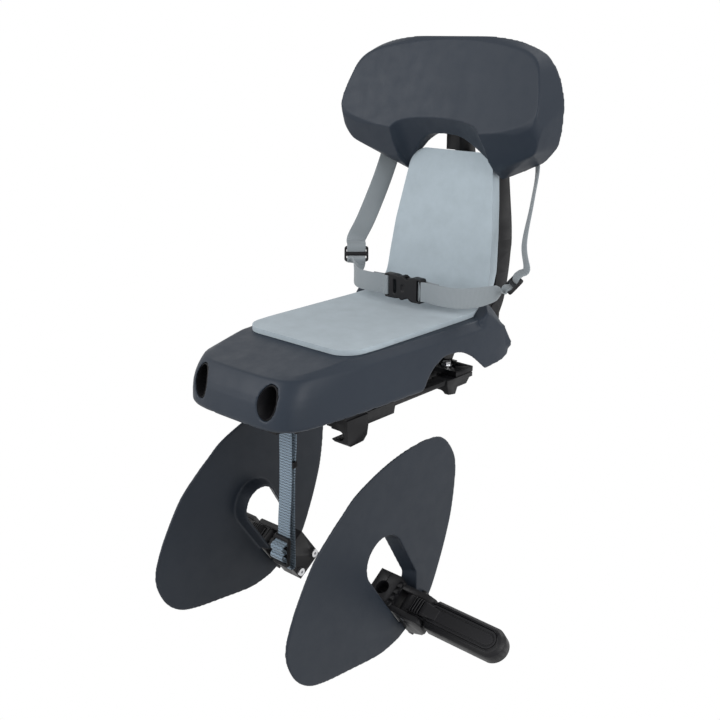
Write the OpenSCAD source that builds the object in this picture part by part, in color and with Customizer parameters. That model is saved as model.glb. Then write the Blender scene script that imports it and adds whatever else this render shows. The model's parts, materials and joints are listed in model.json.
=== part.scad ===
// Rear child bike seat: moulded seat, folding backrest with headrest, harness,
// carrier clamp rails and a pair of spoke guards with folding footrests.
// X is across the bike, -Y is the front of the seat, Z is up.
// The origin lies on the underside that rests on the carrier.

/* [Seat shell] */
// Half width of the shell at its waist
shell_half_w = 97; // [90:1:105]
// Front face of the shell, ahead of the origin
shell_front = 190; // [170:1:205]
// Rear end of the shell, behind the origin
shell_rear = 168; // [160:1:180]
// Height of the deck above the carrier
deck_z = 86; // [80:1:95]
// Drop from the deck to the crease round its edge
crease_drop = 10; // [5:1:14]
// Height of the skirt's lower edge above the carrier
skirt_z = 22; // [18:1:28]
// Wall of the moulded shell
shell_wall = 3; // [2.5:0.5:4]

/* [Pads] */
// Half width of the seat pad
pad_half_w = 85; // [76:1:86]
// Front edge of the seat pad, ahead of the origin
pad_front = 110; // [90:1:120]
// Thickness of the seat pad
seat_pad_t = 6; // [4:1:12]
// Thickness of the back pad
back_pad_t = 18; // [14:1:20]
// Top of the back pad above the carrier
back_pad_top = 273; // [255:1:285]

/* [Backrest] */
// Depth of the side bars of the back frame
bar_depth = 28; // [22:1:32]
// Half width of the spine behind the headrest
spine_half_w = 10; // [8:1:14]
// Radius of the rod that the backrest folds on
hinge_rod_r = 4; // [3:0.5:5]
// Radial running gap of every turning pin
pin_gap = 0.06; // [0.03:0.01:0.1]

/* [Headrest] */
// Wall of the headrest shell
head_wall = 3; // [2.5:0.5:4]
// Radius of the hollow across the headrest's face
head_scoop_r = 840; // [600:20:1200]

/* [Carrier clamp] */
// Half spacing of the two clamp rails
rail_x = 68; // [64:1:70]
// Diameter of the carrier tube that the jaws grip
carrier_tube_d = 12; // [10:1:14]
// Radius of the rail bolts
rail_bolt_r = 3; // [2.5:0.5:3]

/* [Harness] */
// Width of the harness webbing
web_w = 25; // [20:1:28]
// Thickness of the harness webbing
web_t = 1.6; // [1.2:0.2:2]
// Width of the safety strap
tether_w = 20; // [16:1:24]

/* [Spoke guards] */
// Outer face of each guard from the middle plane
guard_x = 112; // [108:1:116]
// Thickness of the guard's plate
guard_t = 3; // [2:0.5:4]
// Depth of the wall round the guard's opening
guard_flange = 18.5; // [14:0.5:24]
// Diameter of the bike stay that the clamp grips
stay_d = 17; // [14:1:18]
// Distance of the stay from the middle plane
stay_x = 84; // [82:1:86]

/* [Footrests] */
// Length of the arm from its hinge
arm_len = 134; // [110:1:150]
// Half width of the arm
arm_half_w = 18; // [16:1:20]
// Thickness of the arm
arm_t = 19; // [16:1:22]
// Radius of the footrest hinge pin
foot_pin_r = 3; // [2.5:0.5:3.5]

/* [Hidden] */
$fn = 48;

shell_col = "#3c434b";
black_col = "#222024";
pad_col = "#a0acb4";
web_col = "#90969a";
tether_col = "#7d909e";
steel_col = "#b8bcc0";

seat_gap = 0.2;      // between a soft piece and what it lies on
part_gap = 0.3;      // between pieces that move past each other
big = 400;

crease_z = deck_z - crease_drop;
pad_top_z = deck_z + seat_gap + seat_pad_t;

// Hinge of the backrest: its height and its place behind the origin
hinge_y = 152;
hinge_z = deck_z + 2;
barrel_r = 12.5;
barrel_half = pad_half_w - 6;
ear_t = 5;
ear_x0 = barrel_half + part_gap;
ear_x1 = ear_x0 + ear_t;

// Points of a smooth open curve through p, with n steps to each span
function blend_point(a, b, c, d, t) = 0.5 * (2 * b + (c - a) * t
    + (2 * a - 5 * b + 4 * c - d) * t * t + (3 * b - a - 3 * c + d) * t * t * t);
function smooth(p, n) = concat(
    [for (i = [0:len(p) - 2], k = [0:n - 1])
        blend_point(p[max(i - 1, 0)], p[i], p[i + 1], p[min(i + 2, len(p) - 1)], k / n)],
    [p[len(p) - 1]]);
function mirrored(p) = concat(p, [for (i = [len(p) - 1:-1:0]) [-p[i][0], p[i][1], p[i][2]]]);
function arc(cx, cy, r, a0, a1, n) = [for (i = [0:n]) let (a = a0 + (a1 - a0) * i / n)
    [cx + r * cos(a), cy + r * sin(a)]];

module hull_points(p) {
    hull() polyhedron(points = p, faces = [for (i = [0:len(p) - 3]) [i, i + 1, i + 2]]);
}
// A flat outline in Y and Z, pushed out along X from x0 to x1
module across(x0, x1, outline) {
    translate([x0, 0, 0]) rotate([90, 0, 90]) linear_extrude(x1 - x0) polygon(outline);
}
// An outline in X and Z, pushed out along Y from y0 to y1
module along(y0, y1, outline) {
    translate([0, y1, 0]) rotate([90, 0, 0]) linear_extrude(y1 - y0) polygon(outline);
}
module both_sides() {
    children();
    mirror([1, 0, 0]) children();
}
module x_rod(x0, x1, y, z, r) {
    translate([x0, y, z]) rotate([0, 90, 0]) cylinder(h = x1 - x0, r = r);
}
module y_rod(y0, y1, x, z, r) {
    translate([x, y1, z]) rotate([90, 0, 0]) cylinder(h = y1 - y0, r = r);
}
// A flat band through points p, w wide along the directions d and t thick
module band(p, d, w, t) {
    n = len(p);
    tang = [for (i = [0:n - 1]) p[min(i + 1, n - 1)] - p[max(i - 1, 0)]];
    ring = [for (i = [0:n - 1]) let (
        u = d[i] / norm(d[i]) * w / 2,
        c = cross(tang[i], d[i]),
        v = c / norm(c) * t / 2) each [p[i] - u - v, p[i] + u - v, p[i] + u + v, p[i] - u + v]];
    polyhedron(points = ring, faces = concat(
        [[0, 1, 2, 3]],
        [for (i = [0:n - 2], k = [0:3]) [4 * i + k, 4 * i + 4 + k, 4 * i + 4 + (k + 1) % 4]],
        [for (i = [0:n - 2], k = [0:3]) [4 * i + k, 4 * i + 4 + (k + 1) % 4, 4 * i + (k + 1) % 4]],
        [[4 * n - 1, 4 * n - 2, 4 * n - 3, 4 * n - 4]]));
}

// Seat shell

// Half outline of the shell in plan at its crease, from the middle of the front to the rear corner
plan_rear = [[shell_half_w, -30], [shell_half_w + 3, 15], [shell_half_w + 6, 70], [shell_half_w + 7, 125],
    [shell_half_w + 6, shell_rear - 13], [shell_half_w + 1, shell_rear - 3], [shell_half_w - 10, shell_rear]];
plan_top = smooth(concat([
    [0, -shell_front], [45, -shell_front + 0.5], [60, -shell_front + 4.5], [71, -shell_front + 12.5],
    [shell_half_w - 18.5, -shell_front + 24], [shell_half_w - 13.5, -shell_front + 41],
    [shell_half_w - 8, -shell_front + 66], [shell_half_w - 3, -90]], plan_rear), 3);
// The same outline at the foot of the nose, which is wider and further forward
nose_out = 15;
plan_low = smooth(concat([
    [0, -shell_front - nose_out], [45, -shell_front - nose_out + 0.5], [62, -shell_front - nose_out + 3],
    [74, -shell_front - nose_out + 10], [shell_half_w - 15, -shell_front + 6],
    [shell_half_w - 10.5, -shell_front + 24], [shell_half_w - 6, -shell_front + 58],
    [shell_half_w - 2.5, -90]], plan_rear), 3);
// The outline at height z, k of the way from the crease to the foot, drawn in by d
function plan_ring(z, k, d) = mirrored([for (i = [0:len(plan_top) - 1])
    let (q = plan_top[i] * (1 - k) + plan_low[i] * k, front = max(0, min(1, (-q[1] - 120) / 60)))
    [q[0] - d * min(1, q[0] / 60), q[1] + d * front - (q[1] > 150 ? d : 0), z]]);
function deck_height(y) = deck_z - crease_drop * max(0, min(1, (-y - pad_front) / (shell_front - pad_front)));
// Outline of the flank behind the deck: the top edge of each tail wing
wing_edge = [[112, deck_z + 8], [126, deck_z], [147, deck_z - 18], [163, deck_z - 35], [shell_rear, deck_z - 43]];

module shell_body(inset) {
    hull_points(concat(
        plan_ring(skirt_z - (inset > 0 ? 30 : 0), 1, 5 + inset),
        plan_ring(skirt_z + 2.5, 1, 1.5 + inset),
        plan_ring(skirt_z + 6, 1, inset),
        plan_ring(skirt_z + 30, 0.85, inset - 0.5),
        plan_ring(skirt_z + 42, 0.42, inset),
        [for (q = plan_ring(crease_z - inset, 0, inset)) if (q[1] < 112) q],
        plan_ring(deck_z - 43 - inset, 0, inset),
        [for (q = plan_ring(0, 0, 8 + inset)) if (q[1] < 112) [q[0], q[1], deck_height(q[1]) - inset]]));
    both_sides() wing(inset);
}
// The shoulder beside the pad, which runs out into the tail wing
wing_in = pad_half_w + 0.5;
module wing(inset) {
    hull_points(concat(
        [for (e = wing_edge) [shell_half_w + 6.5 - inset, e[0] - inset, e[1] - inset]],
        [for (e = wing_edge) [shell_half_w + 3 - inset, e[0] - inset, e[1] - inset - 6]],
        [[wing_in + inset, 100, deck_z - 8 - inset], [wing_in + inset, 112, deck_z + 6 - inset],
         [wing_in + inset, 134, deck_z + 18 - inset], [wing_in + inset, 149 - inset, deck_z + 21 - inset],
         [wing_in + 4.5 - inset, 134, deck_z + 17 - inset], [wing_in + 4.5 - inset, 149 - inset, deck_z + 19 - inset],
         [wing_in + inset, 140 - inset, deck_z], [wing_in + inset, 150 - inset, deck_z - 20],
         [wing_in + inset, 100, deck_z - 40], [shell_half_w + 5 - inset, 104, deck_z - 40],
         [shell_half_w + 5 - inset, 104, deck_z + 1 - inset]]));
}
// Wheel-side arch and the rising tail, cut out of the skirt
arch_outline = concat([[0, skirt_z - 40], [0, skirt_z + 4]],
    smooth([[6, skirt_z + 15], [15.5, skirt_z + 25], [27, skirt_z + 33], [36.5, skirt_z + 36],
        [52, skirt_z + 36], [66, skirt_z + 33.5], [80, skirt_z + 27], [93, skirt_z + 18],
        [108, skirt_z + 6], [113, skirt_z + 2]], 3),
    [[113, skirt_z - 40]]);
tail_outline = [[112.9, skirt_z - 40], [113, skirt_z + 2], [131, skirt_z + 4], [150, skirt_z + 7], [163, skirt_z + 12],
    [shell_rear + 1, skirt_z + 20], [shell_rear + 20, skirt_z + 22], [shell_rear + 20, skirt_z - 40]];

well_x = 53.4;
well_z = deck_z - 33;
well_depth = 26;
well_floor_y = -shell_front - 12 + well_depth;
module well_cut(grow, y1) {
    for (s = [-1, 1])
        along(-shell_front - 40, y1, [for (a = [0:12:348])
            [s * well_x + (14.8 + grow) * cos(a) + s * 3.5 * sin(a), well_z + (19.5 + grow) * sin(a)]]);
}
boss_at = [[24, -62], [24, 62]];
frame_top = 12;

module seat_shell() {
    color(shell_col) difference() {
        union() {
            difference() {
                shell_body(0);
                difference() {
                    shell_body(shell_wall);
                    well_cut(shell_wall, well_floor_y + shell_wall);
                }
            }
            for (p = boss_at, s = [-1, 1])
                translate([s * p[0], p[1], frame_top]) cylinder(h = deck_z - frame_top - 1, r = 7);
        }
        well_cut(0, well_floor_y);
        for (s = [-1, 1]) y_rod(well_floor_y - 5, well_floor_y + 10, s * well_x, well_z - 4, 3.2);
        for (p = boss_at, s = [-1, 1])
            translate([s * p[0], p[1], frame_top - 1]) cylinder(h = 26, r = screw_r);
        both_sides() across(60, 140, arch_outline);
        across(-140, 140, tail_outline);
        translate([-pad_half_w, 117, deck_z - 46]) cube([2 * pad_half_w, 100, 100]);
    }
}

// Screws

screw_r = 2.4;
module pan_screw(len, r = screw_r, head = 5.2) {
    difference() {
        union() {
            cylinder(h = len, r = r);
            translate([0, 0, -3.2]) cylinder(h = 3.2, r = head);
        }
        translate([0, 0, -4]) cylinder(h = 2.6, r = 2, $fn = 6);
    }
}
module shell_screws() {
    color(steel_col) for (s = [-1, 1])
        translate([s * well_x, well_floor_y, well_z - 4]) rotate([-90, 0, 0]) pan_screw(14);
}
module frame_screws() {
    color(steel_col) for (p = boss_at, s = [-1, 1])
        translate([s * p[0], p[1], 4]) pan_screw(26);
}

// Carrier frame: the black moulding between the shell and the carrier

front_wall_y = well_floor_y + shell_wall + 0.2;
arm_front_y = -95;
arm_rear_y = 100;
rail_top = 14;
arm_z = rail_top + part_gap;
arm_thick = 6.5;
arm_half = rail_x + 11;
face_front = -110;   // the flat underside ends here; ahead of it the moulding is raised
slot_travel = 8.6;
plate_half = 36;
riser_x = 24;
rail_bolt_x = rail_x - 14;
module carrier_frame() {
    color(black_col) difference() {
        union() {
            across(-plate_half, plate_half, [[face_front, 0], [118, 0], [140, 6], [146, frame_top], [-150, frame_top],
                [-158, 6], [-150, 3], [face_front, 3]]);
            // upright behind the screw wells, with its web
            across(-68, 68, [[front_wall_y, 16], [front_wall_y + 6, 16], [front_wall_y + 6, well_z + 8],
                [front_wall_y, well_z + 8]]);
            across(-plate_half, plate_half, [[front_wall_y + 1, 6], [-140, 3], [-140, frame_top],
                [front_wall_y + 1, frame_top + 12]]);
            for (x = [-30, 0, 30]) across(x - 2, x + 2, [[front_wall_y + 3, frame_top - 2], [-120, frame_top - 2],
                [front_wall_y + 3, well_z]]);
            // cross arms that the rails hang under
            for (y = [arm_front_y, arm_rear_y])
                translate([-arm_half, y - 14, arm_z]) cube([2 * arm_half, 34, arm_thick]);
            for (y = [arm_front_y, arm_rear_y])
                translate([-plate_half, y - 14, 1]) cube([2 * plate_half, 34, arm_z + 1]);
            // rear beam on two risers, and the two ears of the backrest hinge
            for (x = [-riser_x, riser_x]) across(x - 5, x + 5, [[122, 5], [140, 5], [160, 38], [160, 44], [134, 44]]);
            across(-ear_x1, ear_x1, [[136, 36], [160, 36], [164, 50], [136, 50]]);
            both_sides() ear();
        }
        for (s = [-1, 1]) y_rod(front_wall_y - 2, front_wall_y + 10, s * well_x, well_z - 4, screw_r);
        for (p = boss_at, s = [-1, 1]) translate([s * p[0], p[1], -1]) {
            cylinder(h = 5, r = 6);
            cylinder(h = 30, r = screw_r + 0.2);
        }
        for (y = [arm_front_y, arm_rear_y], s = [-1, 1]) bolt_slot(s * rail_bolt_x, y);
        x_rod(-big, big, hinge_y, hinge_z, hinge_rod_r);
    }
}
module ear() {
    across(ear_x0, ear_x1, concat([[138, 40], [163, 40]], arc(hinge_y, hinge_z, barrel_r, 0, 180, 16)));
}
module bolt_slot(x, y) {
    translate([x, y, arm_z - 1]) linear_extrude(10) union() {
        for (e = [-slot_travel, slot_travel]) translate([e, 0]) circle(r = rail_bolt_r + part_gap);
        square([2 * slot_travel, 2 * (rail_bolt_r + part_gap)], center = true);
    }
}

// Clamp rails: each slides across to grip its carrier tube

jaw_lip = 5;
bar_low = 8.5;
nut_r = 5.6;
nut_t = 5;
jaw_low = -carrier_tube_d - jaw_lip;
module clamp_rail() {
    color(black_col) difference() {
        union() {
            across(rail_x - 9, rail_x + 9, [[-100, 0], [-27, 0], [-25, bar_low], [82, bar_low], [82, rail_top],
                [-100, rail_top]]);
            // front jaw
            across(rail_x - 12, rail_x + 12, [[-108, 0], [-107, jaw_low + 4], [-103, jaw_low], [-82, jaw_low + 1],
                [-76, jaw_low + 7], [-74, 0], [-74, rail_top], [-108, rail_top]]);
            // rear block with its stop against the tube
            across(rail_x - 12, rail_x + 12, [[68, bar_low], [71, -4], [84, -6], [88, 2], [106, 2], [112, bar_low],
                [118, bar_low], [118, rail_top], [68, rail_top]]);
            // inboard ears for the rail bolts
            for (y = [arm_front_y, arm_rear_y]) translate([rail_bolt_x - 8, y - 10, 0]) cube([20, 20, rail_top]);
        }
        // the carrier tube's groove
        translate([rail_x - 20, -150, -carrier_tube_d]) cube([20, 300, carrier_tube_d]);
        translate([rail_x, -150, -carrier_tube_d / 2]) rotate([-90, 0, 0])
            cylinder(h = 300, r = carrier_tube_d / 2);
        for (y = [arm_front_y, arm_rear_y]) translate([rail_bolt_x, y, 0]) {
            translate([0, 0, -1]) cylinder(h = rail_top + 2, r = rail_bolt_r);
            translate([0, 0, -1]) cylinder(h = nut_t + 1, r = nut_r + 0.1, $fn = 6);
        }
    }
}
module rail_bolts() {
    bolt_seat = arm_z + arm_thick + part_gap;
    color(steel_col) for (y = [arm_front_y, arm_rear_y]) translate([rail_bolt_x, y, 0]) {
        translate([0, 0, 0.5]) cylinder(h = bolt_seat - 0.5, r = rail_bolt_r);
        translate([0, 0, 0.5]) cylinder(h = nut_t - 0.5, r = nut_r, $fn = 6);
        translate([0, 0, bolt_seat]) cylinder(h = 1.2, r = 7);
        translate([0, 0, bolt_seat + 1.2]) cylinder(h = 4, r = 5.5, $fn = 6);
    }
}

// Seat pads

module seat_pad() {
    r = 24;
    color(pad_col) translate([0, 0, deck_z + seat_gap]) linear_extrude(seat_pad_t) polygon(concat(
        arc(pad_half_w - 14 - r, -pad_front + r, r, -90, -15, 10),
        [[pad_half_w - 3, -70], [pad_half_w, -20], [pad_half_w, 90], [pad_half_w - 1, 112],
         [-pad_half_w + 1, 112], [-pad_half_w, 90], [-pad_half_w, -20], [-pad_half_w + 3, -70]],
        arc(-pad_half_w + 14 + r, -pad_front + r, r, 195, 270, 10)));
}
back_front = [[142.5, pad_top_z + 23.5], [147, pad_top_z + 48], [153, pad_top_z + 88],
    [159.5, pad_top_z + 123], [165.5, pad_top_z + 158], [170.5, back_pad_top]];
function shifted(p, dy, dz = 0) = [for (q = p) [q[0] + dy, q[1] + dz]];
function reversed(p) = [for (i = [len(p) - 1:-1:0]) p[i]];
module pad_bend() {
    top = smooth([[112.3, pad_top_z], [121, pad_top_z + 2], [130, pad_top_z + 7], [137, pad_top_z + 14.5],
        [142.3, pad_top_z + 23.2]], 3);
    color(pad_col) intersection() {
        across(-big, big, concat(top, [[151, pad_top_z + 18], [143, pad_top_z + 11], [133, pad_top_z + 1],
            [122, pad_top_z - 5], [112.3, deck_z + seat_gap]]));
        translate([0, 0, deck_z - 10]) linear_extrude(60) polygon([[-pad_half_w + 1, 112], [pad_half_w - 1, 112],
            [pad_half_w - 4, 152], [-pad_half_w + 4, 152]]);
    }
}
back_edge = [[pad_half_w - 4, pad_top_z + 18], [pad_half_w - 5, pad_top_z + 48], [pad_half_w - 9, pad_top_z + 90],
    [pad_half_w - 15, pad_top_z + 126], [pad_half_w - 20, back_pad_top - 26]];
module back_pad() {
    profile = smooth(back_front, 3);
    seat = shifted(smooth(frame_face, 3), -seat_gap);
    half = concat(smooth(back_edge, 3), arc(38, back_pad_top - 24, 24, 12, 90, 8));
    color(pad_col) intersection() {
        across(-big, big, concat(profile, reversed(seat)));
        along(0, big, concat(half, reversed([for (q = half) [-q[0], q[1]]])));
    }
}

// Back frame: a tray with deep side bars, the hinge barrel and the spine

frame_plate = 4;
bar_w = 9;
plate_top = 378;
plate_low = 326;
// The face that the back pad lies on is steeper than the pad's front, so the pad thins upwards
frame_face = [[143 + back_pad_t, pad_top_z + 22.5], [147.5 + back_pad_t, pad_top_z + 48], [150.5 + back_pad_t, pad_top_z + 75],
    [151 + back_pad_t, pad_top_z + 110], [152 + back_pad_t, pad_top_z + 146], [156.5 + back_pad_t, back_pad_top]];
frame_front = smooth(frame_face, 3);
bar_back = bar_depth - 28;
frame_rear = shifted(smooth([[206, 264], [203, 236], [197.5, 168], [194.5, 154], [187.5, 121], [181, 95], [172, 78]], 3),
    bar_back);
frame_edge = concat([[barrel_half, 60]], [for (q = smooth(back_edge, 3)) [q[0] - 2, q[1]]]);
module back_frame() {
    rim = concat(frame_edge, [[62, 258], [50, 263], [spine_half_w, 266]]);
    inner = concat([[barrel_half - bar_w, 112]], [for (q = smooth(back_edge, 3)) [q[0] - 2 - bar_w, q[1]]],
        [[52, 250], [spine_half_w, 254]]);
    color(black_col) difference() {
        union() {
            intersection() {
                across(-big, big, concat([[152, 100], [143 + back_pad_t, pad_top_z + 15]], frame_front, frame_rear,
                    [[160, 75.6], [152, 75.6]]));
                along(0, big, concat(rim, reversed([for (q = rim) [-q[0], q[1]]])));
            }
            x_rod(-barrel_half, barrel_half, hinge_y, hinge_z, barrel_r);
            // spine and the plate that carries the headrest
            across(-spine_half_w, spine_half_w, [[190, 240], [190, back_pad_top + part_gap],
                [171, back_pad_top + part_gap], [171, 292], [176, plate_low], [179, plate_top],
                [185, plate_top], [196, plate_low], [206, 264], [203, 240]]);
            translate([-56, 176, plate_low]) cube([112, 5, plate_top - plate_low]);
            both_sides() across(spine_half_w - 4, spine_half_w, [[180, plate_low], [180, plate_top], [185, plate_top],
                [196, plate_low], [204, 264], [190, 264]]);
        }
        // the tray behind the front plate
        difference() {
            intersection() {
                across(-big, big, concat(shifted(frame_front, frame_plate), [[big, 264], [big, 112], [190, 112]]));
                along(0, big, concat(inner, reversed([for (q = inner) [-q[0], q[1]]])));
            }
            translate([-spine_half_w, 0, 0]) cube([2 * spine_half_w, 194, 300]);
            for (z = [155, 205]) translate([-80, 0, z]) cube([160, 190, 3]);
        }
        x_rod(-big, big, hinge_y, hinge_z, hinge_rod_r + pin_gap);
        for (x = [-40, 40], z = [plate_low + 12, plate_top - 12]) y_rod(150, 200, x, z, screw_r + 0.2);
        // slots for the ends of the shoulder straps
        for (s = [-1, 1]) translate([s * 50 - 1.6, 170, plate_low + 12]) cube([3.2, 20, plate_top - plate_low - 24]);
    }
}
module hinge_rod() {
    color(steel_col) x_rod(-ear_x1, ear_x1, hinge_y, hinge_z, hinge_rod_r);
}
module hinge_caps() {
    color(black_col) both_sides() x_rod(ear_x1, ear_x1 + 0.9, hinge_y, hinge_z, hinge_rod_r + 3);
}

// Headrest: a hollow moulding, scooped across its face and arched over the pad

head_z = 40;
face_half = smooth([[0, 161, 319.5], [50, 160.5, 319.4], [86.8, 159, 318], [112, 154, 312], [130, 147, 299],
    [141, 137, 280], [147.5, 127, 254], [146.5, 125.3, 241], [143, 125, 233], [132, 126, 227.5], [115, 127, 223],
    [92, 128.5, 220.5], [66, 130.5, 219]], 2);
// The chin, where the face's lower edge rolls under towards the back
chin_half = smooth([[151, 134, 231], [147.5, 133, 218], [141, 138, 204], [132, 141, 198], [118, 144, 193],
    [104, 147, 188.5], [92, 150, 183.5], [80, 158, 175]], 2);
back_half = smooth([[0, 169, 330.5], [50, 168.6, 329.6], [97, 167.8, 325.5], [131, 167, 316.5], [143, 167.5, 306], [150, 169, 288],
    [155, 171, 262], [154, 173, 238], [151, 175, 220], [146, 176, 206], [130, 177, 189], [116, 178, 182],
    [92, 178, 171], [72, 177, 163]], 2);
head_base = 79;
function head_ring(p, inset) = mirrored([for (q = p)
    [max(0, q[0] - inset), q[1], head_base + q[2] + (q[2] > 235 ? -inset : inset)]]);
module head_body(inset, back) {
    rear = [for (q = head_ring(back_half, inset)) [q[0], q[1] + back, q[2]]];
    chin = [for (q = head_ring(chin_half, 2 * inset)) [q[0], q[1] + 1.4 * inset, q[2]]];
    hull_points(concat(head_ring(face_half, inset), chin, rear));
}
// Mouth of the arch: its edge in the face, and its lower edge towards the back
arch_face = [[0, 281], [39, 277], [55, 271], [64, 262], [69, 250], [71, 150]];
arch_back = [[0, 152, 254], [22, 153, 252], [36, 156, 245], [47, 160, 236], [62, 168, 220], [71, 175, 204], [72, 177, 150]];
function arch_pair(p, grow) = [for (s = [-1, 1], q = p)
    [s * (q[0] + grow), q[1], q[2] + head_z + (q[2] > 160 ? grow : 0)]];
module arch_cut(grow) {
    hull_points(concat(
        arch_pair([for (q = arch_face) [q[0], 120, q[1] + 12]], grow),
        arch_pair(arch_back, grow)));
    hull_points(concat(
        arch_pair(arch_back, grow),
        arch_pair([for (q = arch_back) [q[0], 184, q[2]]], grow)));
}
// The hollow across the face follows a large cylinder that leans back with it
module face_scoop(back) {
    translate([0, 136.5 + back, 316]) rotate([-17.5, 0, 0])
        translate([0, -head_scoop_r, -big]) cylinder(h = 2 * big, r = head_scoop_r, $fn = 180);
}
head_boss = [[40, plate_low + 12], [40, plate_top - 12]];
module headrest_shell() {
    color(shell_col) difference() {
        union() {
            difference() {
                head_body(0, 0);
                difference() {
                    head_body(head_wall, 12);
                    arch_cut(head_wall);
                    face_scoop(head_wall);
                }
            }
            intersection() {
                for (p = head_boss, s = [-1, 1]) y_rod(120, 176, s * p[0], p[1], 6);
                head_body(1, 12);
            }
        }
        arch_cut(0);
        face_scoop(0);
        for (p = head_boss, s = [-1, 1]) y_rod(160, 200, s * p[0], p[1], screw_r);
        translate([-spine_half_w - part_gap, 166, 280]) cube([2 * (spine_half_w + part_gap), 40, plate_low - 280]);
    }
}
module headrest_screws() {
    color(steel_col) for (p = head_boss, s = [-1, 1])
        translate([s * p[0], 181, p[1]]) rotate([90, 0, 0]) pan_screw(14);
}

// Harness webbing and its plastic pieces

glide_at = [125, 130, 130];
glide_turn = 42;     // about Z, so that the webbing faces the child
glide_lift = 47;     // slope of the glide up towards the shoulder strap
glide_len = 22;
// The glide's own directions: along its bars, and across them towards the shoulder
glide_along = [cos(glide_turn), -sin(glide_turn), 0];
glide_up = [sin(glide_turn) * cos(glide_lift), cos(glide_turn) * cos(glide_lift), sin(glide_lift)];
glide_reach = glide_len / 2 + 0.6;
buckle_at = [3, 78, 115];
buckle_len = 58;
module shoulder_strap() {
    color(web_col) band(
        smooth([[56, 182, 352], [80, 185.5, 330], [102, 188, 298], [114, 187, 262], [119, 172, 222], [125, 150, 176],
            glide_at + glide_reach * glide_up], 2),
        smooth([[0.7, 0, 0.7], [0.75, 0, 0.62], [0.9, -0.15, 0.35], [0.88, -0.35, 0.2], [0.8, -0.6, 0.05],
            glide_along, glide_along], 2), web_w, web_t);
}
module glide() {
    w = web_w + 7;
    color(black_col) translate(glide_at) rotate([0, 0, -glide_turn]) rotate([glide_lift, 0, 0]) difference() {
        translate([-w / 2, -glide_len / 2, -1.8]) cube([w, glide_len, 3.6]);
        for (y = [-7.5, 2.5]) translate([-web_w / 2 - 0.6, y, -5]) cube([web_w + 1.2, 5, 10]);
    }
}
// The lap straps run from the glides, bow forward and meet the buckle's ends
module lap_strap(s) {
    tail = s * buckle_at[0] + buckle_len / 2 + part_gap;
    path = [glide_at - glide_reach * glide_up, [111, 115, 119], [98, 97, 115.5], [80, 83, 113.5], [58, 78, 114],
        [tail, buckle_at[1], buckle_at[2]]];
    turn = [glide_along, [0.35, -0.2, 0.9], [0, 0, 1], [0, 0.1, 1], [0, 0.1, 1], [0, 0, 1]];
    color(web_col) mirror([s > 0 ? 0 : 1, 0, 0]) band(path, turn, web_w, web_t);
}
socket_len = 34;
module buckle_socket() {
    color(black_col) translate(buckle_at) difference() {
        union() {
            translate([buckle_len / 2 - socket_len, -5.5, -15]) cube([socket_len - 8, 11, 30]);
            translate([buckle_len / 2 - 9, -4, -15]) cube([9, 8, 30]);
        }
        translate([buckle_len / 2 - socket_len - 1, -3.5, -12.5]) cube([24, 7, 25]);
        for (s = [-1, 1]) translate([buckle_len / 2 - socket_len + 6, -9, s * 15 - 4]) cube([12, 18, 8]);
        translate([buckle_len / 2 - 6.5, -9, -web_w / 2 - 0.4]) cube([3, 18, web_w + 0.8]);
    }
}
module buckle_plug() {
    joint_x = buckle_len / 2 - socket_len - part_gap;
    color(black_col) translate(buckle_at) difference() {
        union() {
            translate([-buckle_len / 2, -4, -15]) cube([joint_x + buckle_len / 2, 8, 30]);
            for (z = [-11.9, 7.4]) translate([joint_x - 1, -3.2, z]) cube([22, 6.4, 4.5]);
            translate([joint_x - 1, -3.2, -2]) cube([20, 6.4, 4]);
        }
        translate([-buckle_len / 2 + 3, -9, -web_w / 2 - 0.4]) cube([3, 18, web_w + 0.8]);
        translate([joint_x - 9, -9, -9]) cube([4, 18, 18]);
    }
}

// Safety strap: a hanging loop with a ladder buckle at its foot

tether_top = 3;
tether_y = -124;
tether_low = -186;
module safety_strap() {
    path = concat(
        [[0, tether_y, tether_top - 0.2], [0, tether_y - 1, -60], [0, tether_y - 3, -110], [0, tether_y - 8, -150],
         [0, tether_y - 9, tether_low + 14]],
        [for (a = [0:45:180]) [0, tether_y - 4 - 5 * cos(a), tether_low + 5 - 5 * sin(a)]],
        [[0, tether_y + 2, tether_low + 20], [0, tether_y + 7, -110], [0, tether_y + 8, -50], [0, tether_y + 8, tether_top - 0.2]]);
    color(tether_col) band(path, [for (q = path) [1, 0, 0]], tether_w, web_t);
}
module safety_buckle() {
    w = tether_w + 7;
    color(black_col) translate([0, tether_y - 12, -157]) rotate([-4, 0, 0]) difference() {
        translate([-w / 2, -2.5, -22]) cube([w, 5, 44]);
        for (z = [-18, -5, 8]) translate([-tether_w / 2 - 0.5, -5, z]) cube([tether_w + 1, 10, 8]);
    }
}

// Spoke guards: flat leaves with a walled opening along the bike's stay.
// In the stay's own frame X is outwards, Y is across the stay and Z runs up it.

stay_tilt = 35;
foot_at = [0, -45, -222];
module on_stay() {
    translate(foot_at) rotate([stay_tilt, 0, 0]) children();
}
function smooth_loop(p, n) = let (m = len(p)) [for (i = [0:m - 1], k = [0:n - 1])
    blend_point(p[(i + m - 1) % m], p[i], p[(i + 1) % m], p[(i + 2) % m], k / n)];
leaf_outline = smooth_loop([[6, -30], [26, -39], [42, -60], [47, -80], [45, -112], [38, -148], [22, -192], [2, -232],
    [-20, -250], [-47, -264], [-60, -269], [-90, -273], [-137, -268], [-180, -262], [-204, -254], [-222, -238],
    [-233, -215], [-235, -195], [-229, -174], [-216, -147], [-193, -111], [-168, -87.5], [-150, -68], [-125, -55],
    [-79, -38], [-33, -29.5]], 3);
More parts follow.
